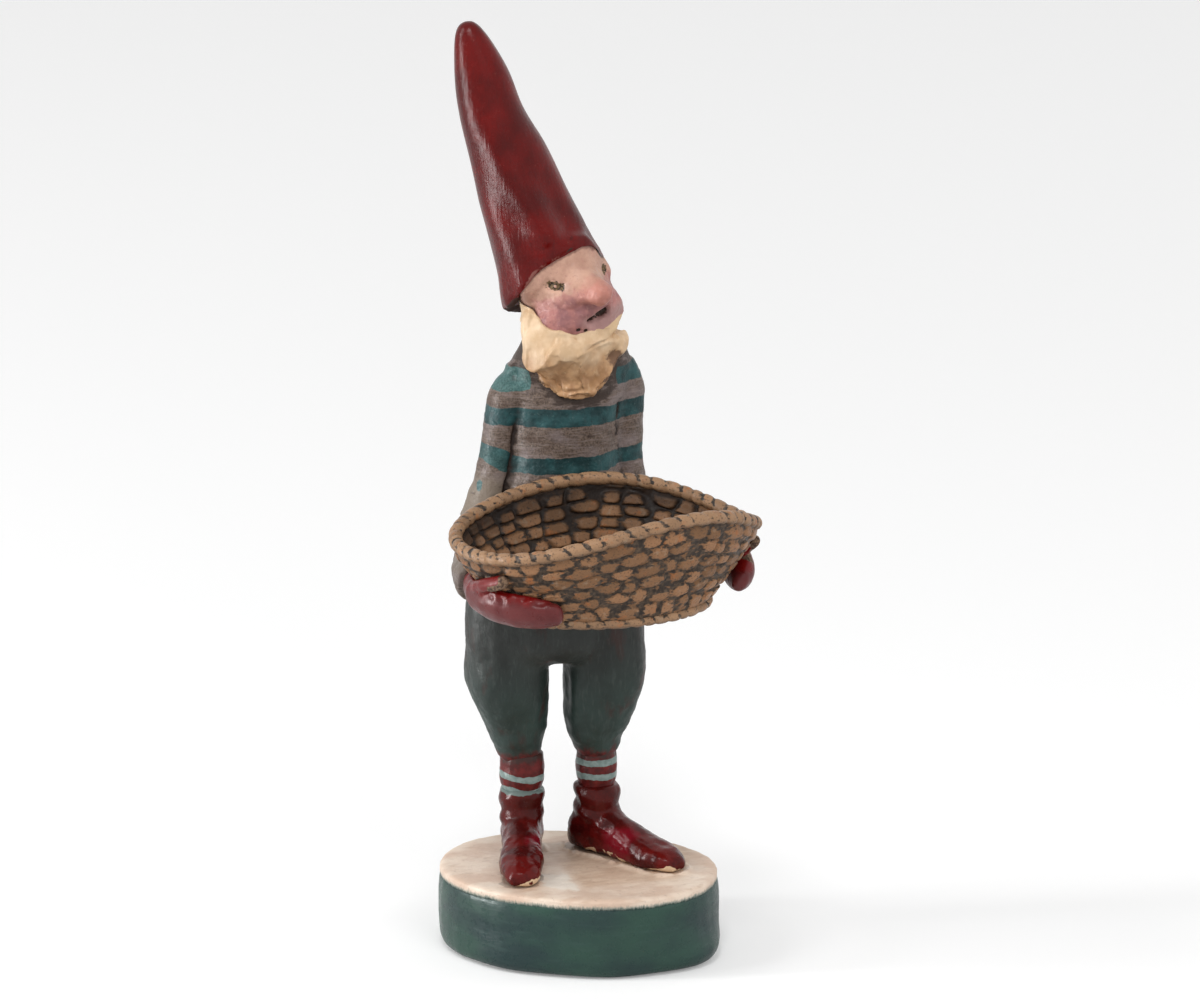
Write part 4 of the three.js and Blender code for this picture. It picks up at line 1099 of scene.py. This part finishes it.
def make_head():
    """Head, level with the hat above it and the beard below."""
    block = worn("head_block", "head", 0.27 * mm, 40)
    points = points_of(block)
    brim = brim_height(points)
    local = head_local(points)
    x, y, z = local.T
    turned = turned_aside(local)

    def near(place, reach):
        return bell(np.linalg.norm(local - np.array(place), axis=1), 0, reach)

    far_side = 1.1 * near((10.5, -4, -0.8), 2.6) - 2.6 * near((12.2, -5, -5.8), 3.4)
    forehead = smooth(brim, -5, -0.5) * smooth(turned, 52, 40)
    jaw = 0.9 * smooth(z, -1, -6) * (1 - 0.6 * bell(turned, mouth_bearing, 22))
    front = smooth(np.abs(turned - 5), 90, 65) * (forehead + jaw)
    temple = 2.0 * smooth(brim, -7, -1) * bell(turned, -72, 20)
    push(block, mm * (temple + far_side - 0.7 * near((2, -20, -6), 3) + front))
    points = points_of(block)
    x, y, z = head_local(points).T
    wide = np.where(x < 1.8, 6.2, 3.6)
    tall = np.where(z > -1.5, 5.2, 2.8)
    nose = 7.2 * bell(x, 1.8, wide) * bell(z, -1.5, tall)
    cheeks = np.sqrt(np.clip((cheek_radius / mm) ** 2 - x**2, 0, None))
    fill = np.clip(y + cheeks + nose, 0, 7)
    fill *= smooth(y, -5, -8) * smooth(np.abs(x), 10, 7)
    set_points(block, points - mm * fill[:, None] * head_axes[:, 1])
    head = remeshed("head_shape", [block.data], 0.27 * mm)
    bpy.data.objects.remove(block)
    local = head_local(points_of(head))
    relax(head, 30, 1 - near((-1.5, -15, -3), 5))
    relax(head, 12)
    carve_face(head)
    return finished(head, face_paint(), "face_paint", "head")


def carve_face(head):
    """Eye pits, mouth and plaster grain, and the marks for their colours."""
    points = points_of(head)
    local = head_local(points)
    x, y, z = local.T
    turned = turned_aside(local)
    ahead = smooth(y, -3, -6)
    crumbs = roughness(points, 1.2 * mm, 51)
    slant = 0.05 * (turned - right_eye_bearing)
    right_eye = bell(turned, right_eye_bearing, 9) * bell(z, 2.6 - slant, 1.35)
    left_eye = bell(turned, left_eye_bearing, 9) * bell(z, 0.7, 1.5)
    eyes = np.maximum(right_eye, left_eye) * (1 + 0.7 * crumbs)
    aside = turned - mouth_bearing
    opening = np.clip(0.5 + 0.035 * aside, 0.3, 1)
    lips = bell(z, -8.7 + 0.03 * aside, 0.4 + 0.7 * opening)
    mouth = lips * smooth(np.abs(aside), 18, 14) * smooth(y, -7, -9)
    mouth *= (0.6 + 0.5 * opening) * (1 + 0.3 * crumbs)
    pits = bell(turned, -22, 2.2) * bell(z, -10.2, 0.4)
    pits += bell(turned, -14, 2.2) * bell(z, -11.1, 0.45)
    push(head, mm * ahead * (-1.2 * eyes - 2.2 * mouth - 0.8 * pits))
    brim = brim_height(points_of(head))
    roughen(head, mm * (0.2 + 0.14 * smooth(z, 1, -3)), 3.2 * mm, 53, 4)
    mark_hollows(head, 36, 0.6 * mm)
    mark(head, eye=eyes * ahead)
    mark(head, mouth=np.clip((mouth + 1.2 * pits) * ahead, 0, 1))
    mark(head, cheek=smooth(z, 2.0, -4.5) * smooth(np.abs(turned), 80, 62))
    ball = np.linalg.norm((local - np.array([0.5, -18, -2])) * np.array([0.8, 0.8, 1]), axis=1)
    mark(head, nose=0.9 * smooth(ball + 0.8 * crumbs, 6.0, 1.5))
    mark(head, chin=0.8 * smooth(z, -6.5, -9) * smooth(turned, -24, -10) * smooth(y, -6, -8))
    mark(head, bearded=smooth(z - 0.02 * turned, -12.2, -12.8))
    # Painted shade under the hat's brim: a band along it, wider at the elf's left, and the temple
    # under the hat's corner.
    ragged = smooth(brim + 0.7 * crumbs, -1.4, -0.5) * smooth(turned, 20, 40)
    temple = smooth(turned, -62, -72) * smooth(z, -3, 0)
    shaded = 0.7 * smooth(brim + 0.5 * crumbs, -0.7, -0.1) + ragged + 0.5 * temple
    mark(head, brow=np.clip(shaded, 0, 1))


def make_beard(head):
    """Beard hewn with broad knife cuts, thin along its upper edge and ragged at its lower one."""
    beard = worn("beard_shape", "beard", 0.34 * mm, 14)
    x, y, z = points_of(beard).T / mm
    right_bulge = smooth(x, 6, 12) * bell(z, 160, 3)
    left_bulge = smooth(x, -3, -9) * bell(z, 155.2, 3.5)
    waist = smooth(x, -2, -7) * bell(z, 149, 3)
    push(beard, mm * (0.2 * right_bulge + 2.2 * left_bulge - 1.2 * waist))
    points = points_of(beard)
    x, y, z = points.T / mm
    local = head_local(points)
    lobe = smooth(x, 5, 10) * smooth(z, 160.5, 164)
    side = smooth(turned_aside(local), -62, -85) * smooth(z, 158, 162)
    side *= smooth(local[:, 2], -1.5, -5)
    points = drawn_in(points, 1.8 * lobe - 0.5 * side)
    points[:, 2] -= 1.6 * mm * lobe
    set_points(beard, points)
    relax(beard, 6)
    hew(beard, 8 * mm, 0.2, 0.9 * mm, 65, 1.4)
    relax(beard, 1)
    x, y, z = points_of(beard).T / mm
    flap = bell(x + 4.5 - 0.9 * (162 - z), 0, 0.9) * smooth(z, 156, 158) * smooth(z, 165, 163)
    step = smooth(z - 154.5 - 0.5 * (x + 8), 1.0, -0.4) * smooth(z, 146, 151) * smooth(x, 8, 2)
    cut = bell(x, 8.4, 2.2) * bell(z, 156, 1.8)
    push(beard, mm * (0.7 * flap - 0.8 * step - 0.9 * cut) * (y < 3))
    hew(beard, 3.4 * mm, 0.13, 0.25 * mm, 66, 1.5)
    relax(beard, 1)
    points = points_of(beard)
    local = head_local(points)
    pressed = near_beard_top(local)
    inward = gaps(head, local, np.flatnonzero(pressed > 0), 0.1, 0.5, (-1, 2.5))
    set_points(beard, drawn_in(points, relaxed(inward * pressed, edges_of(beard), 6)))
    points = points_of(beard)
    tufts = roughness(points * np.array([1, 1, 0.5]), 2.6 * mm, 67)
    push(beard, mm * (0.08 + 0.35 * smooth(points[:, 2], 154 * mm, 148 * mm)) * tufts)
    mark_hollows(beard, 24, 0.7 * mm)
    x, y, z = points_of(beard).T / mm
    mark(beard, low=0.9 * smooth(z + 2.5 * tufts, 161, 151))
    # Brown smear, partly painted shade in the notch cut at the elf's left.
    smear = bell(x, 8.4, 2.8) * bell(z, 156, 2.4) + 0.8 * bell(x, 9.8, 1.4) * bell(z, 152.5, 2.5)
    smear += bell(x, 7, 2.2) * bell(z, 149.5, 0.8)
    mark(beard, smear=np.clip(smear * smooth(y, 6, 2), 0, 1))
    finished(beard, beard_paint(), "beard_cream", "beard")


def near_beard_top(local):
    """1 along the beard's upper edge, fading to 0 some way below it and at its back."""
    sector = 6
    lowest = -20.0
    fade = 6
    turned = turned_aside(local)
    bearings = np.arange(-180, 181, sector)
    top = np.full(len(bearings), lowest)
    np.maximum.at(top, np.round((turned + 180) / sector).astype(np.int64), local[:, 2])
    below = np.interp(turned, bearings, top) - local[:, 2]
    return np.clip(1 - below / fade, 0, 1) * smooth(np.abs(turned), 110, 80)


def make_hat(head):
    """Hat with a soft ridge down its front, its brim pressed on to the head."""
    hat = remeshed("hat_shape", [cad_mesh("hat")], 0.42 * mm)
    relax(hat, 70, 0.9 * crisp_edges(hat) * smooth(brim_height(points_of(hat)), 6, 4))
    points = points_of(hat)
    brim = brim_height(points)
    local = head_local(points)
    turned = turned_aside(local)
    across = np.radians(turned + 14 + 1.1 * np.clip(brim, 0, 34))
    across *= np.hypot(local[:, 0], local[:, 1])
    ridge = bell(across, 0, 3.2) - 0.6 * bell(across, 6.5, 3.5) - 0.5 * bell(across, -6.5, 4)
    ridge *= smooth(brim, 46, 26) * smooth(brim, 0, 5) * smooth(np.abs(turned), 120, 90)
    ridge *= 0.8 + 0.9 * smooth(brim, 28, 12)
    push(hat, mm * (0.4 * roughness(points, 16 * mm, 71, 2) + 0.25 + ridge))
    far_side = smooth(turned, 25, 60) * smooth(turned, 130, 100)
    forehead = smooth(turned, -62, -45) * smooth(turned, 28, 12)
    droop = 1.8 * bell(turned, -92, 16) + 0.8 * bell(turned, -68, 12)
    droop += 3.0 * far_side - 0.4 * forehead
    droop = droop * smooth(brim, 7, 0.5) - 0.7 * smooth(brim, 50, 64)
    points = points_of(hat) - mm * droop[:, None] * head_axes[:, 2]
    low = np.flatnonzero(brim < 12)
    pressed = smooth(turned, -97, -74) * smooth(turned, 150, 120)
    pressed *= np.clip(1 - brim / 11, 0, 1) ** 2
    inward = gaps(head, head_local(points), low, 0.25, 0.8, (-4, 2.2)) * pressed
    corner = bell(turned, -112, 22) * smooth(brim, 9, 1)
    points = drawn_in(points, relaxed(inward, edges_of(hat), 8) - 0.7 * corner)
    for _ in range(2):
        sunk = gaps(head, head_local(points), low, 0.4, np.inf, (-5, 0))
        points = drawn_in(points, np.minimum(sunk, relaxed(sunk, edges_of(hat), 10)))
    set_points(hat, points)
    relax(hat, 5)
    mark_hollows(hat, 60, 1.2 * mm)
    ragged = 0.35 * swells(points, 1.5 * mm, 75)
    pale = smooth(turned, -88, -74) * smooth(turned, 0, -14)
    rubbed = smooth(brim + 1.5 * ragged, 0.9, 0.2) * (0.45 + 0.4 * bell(turned, -62, 12))
    # Painted shade: the brim mark darkens a band along the brim's edge, except at the rubbed front
    # left.
    mark(hat, brim=smooth(brim + ragged, 0.7, 0.2) * (1 - pale), rubbed=pale * rubbed)
    finished(hat, hat_paint(), "hat_red", "hat")


def paint_hidden_parts():
    """Rods, pins, dowels and the pad keep their castings and get their materials."""
    steel = plain_paint("rod_steel", (160, 162, 165), 0.35, 1.0, (1, 1, 8))
    beech = plain_paint("dowel_wood", (200, 168, 120), 0.7, 0.0, (1, 1, 8))
    felt = plain_paint("pad_felt", (48, 48, 46), 0.95)
    looks = {"rod": steel, "pin": steel, "dowel": beech, "pad": felt}
    for name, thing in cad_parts.items():
        look = looks.get(name.split("_")[-1])
        if look is not None:
            thing.data.materials[0] = look


# Stage, light and camera


def make_floor():
    """Near white floor that keeps the shadow, a little brighter to the eye than its light."""
    bpy.ops.mesh.primitive_plane_add(size=6, location=(0, 0, 0))
    floor = bpy.context.object
    floor.name = "floor"
    paint = Paint("floor_white")
    paint.set("Base Color", (0.8, 0.8, 0.8, 1))
    paint.set("Roughness", 0.9)
    paint.shader.inputs["Emission Color"].default_value = (1, 1, 1, 1)
    seen = paint.node("ShaderNodeLightPath").outputs["Is Camera Ray"]
    away = paint.node("ShaderNodeVectorMath", {0: paint.place})
    away.operation = "LENGTH"
    glow = paint.ramp(away.outputs["Value"], 0.2, 1.2, 0.2, 0.28)
    paint.set("Emission Strength", paint.math("MULTIPLY", seen, glow))
    floor.data.materials.append(paint.material)


def make_light(name, place, aim, size, power, shines=True, lights=True):
    """Soft box; one that doesn't shine gives light but no highlight, or the other way round."""
    lamp = bpy.data.lights.new(name, "AREA")
    lamp.shape = "RECTANGLE"
    lamp.size, lamp.size_y = size
    lamp.energy = power
    thing = placed(name, lamp)
    thing.location = place
    thing.rotation_euler = (Vector(aim) - Vector(place)).to_track_quat("-Z", "Y").to_euler()
    thing.visible_glossy = shines
    thing.visible_diffuse = lights


def make_world():
    """Plain white room: white to the eye and in reflections, softer as light."""
    world = bpy.data.worlds.new("room")
    bpy.context.scene.world = world
    world.use_nodes = True
    room = Nodes(world.node_tree)
    path = room.node("ShaderNodeLightPath").outputs
    seen = room.math("MAXIMUM", path["Is Camera Ray"], path["Is Glossy Ray"])
    seen = room.math("MAXIMUM", seen, path["Is Transmission Ray"])
    background = room.tree.nodes["Background"]
    background.inputs["Color"].default_value = (1, 1, 1, 1)
    room.feed(background.inputs["Strength"], room.ramp(seen, 0, 1, 0.5, 1.0))


def make_camera():
    """View from a little above, turned to the elf's right."""
    azimuth = math.radians(-18)
    elevation = math.radians(15.5)
    distance = 2.2
    picture_width = 1200
    pixel = 0.2526 * mm
    right = Vector((math.cos(azimuth), math.sin(azimuth), 0))
    ahead = Vector((math.sin(azimuth), -math.cos(azimuth), 0))
    toward = ahead * math.cos(elevation) + Vector((0, 0, math.sin(elevation)))
    aim = right * 5.4 * mm + Vector((-0.37, -1.58, 118.68)) * mm
    camera = bpy.data.cameras.new("camera")
    camera.sensor_width = 36
    camera.lens = camera.sensor_width * distance / (picture_width * pixel)
    camera.clip_end = 20
    thing = placed("camera", camera)
    thing.location = aim + toward * distance
    thing.rotation_euler = toward.to_track_quat("Z", "Y").to_euler()
    bpy.context.scene.camera = thing


make_plinth()
make_snow()
boot_material = boot_paint()
above_boot = 60 * mm
make_boot("right", right_ankle, right_foot_turn, boot_material, 39.5 * mm, 3)
make_boot("left", left_ankle, left_foot_turn, boot_material, above_boot, 8)
sock_material = sock_paint()
make_sock("right", right_ankle, sock_material, 38.9 * mm, 13)
make_sock("left", left_ankle, sock_material, 42.2 * mm, 17)
make_trousers()
make_jersey()
mitten_material = mitten_paint()
make_mitten("right", mitten_material, (-33.5, -51.5, 113.8), (-40, -43, 110), 23)
make_mitten("left", mitten_material, (35.5, -37, 114), (33, -33, 108), 27)
make_basket_wall()
rope_material = wicker_paint("rope_brown", (136, 106, 80), (152, 119, 90), (46, 40, 36), 0.22)
make_rope("basket_rim_shape", rim_path, rim_rope, 56, rope_material, "basket_rim", 2)
make_rope("basket_foot_shape", foot_path, foot_rope, 40, rope_material, "basket_foot", 6)
head = make_head()
make_beard(head)
make_hat(head)
paint_hidden_parts()

make_floor()
make_light("key", (-1.36, 0.22, 0.32), (0, 0, 0.16), (0.16, 0.7), 9)
make_light("streak", (-0.42, 0.04, 0.08), (-0.02, 0, 0.2), (0.15, 0.16), 0.95, lights=False)
make_light("left", (-1.1, 0.1, 1.0), (0, 0, 0.13), (0.5, 0.5), 5)
make_light("top", (-0.35, -0.8, 1.3), (0, 0, 0.12), (0.3, 0.3), 6)
make_light("front", (0.2, -1.4, 0.9), (0, 0, 0.12), (0.8, 0.8), 7, False)
make_light("fill", (1.3, -0.4, 0.5), (0, 0, 0.12), (0.6, 0.9), 3, False)
make_world()
make_camera()
bpy.context.scene.view_settings.view_transform = "Standard"
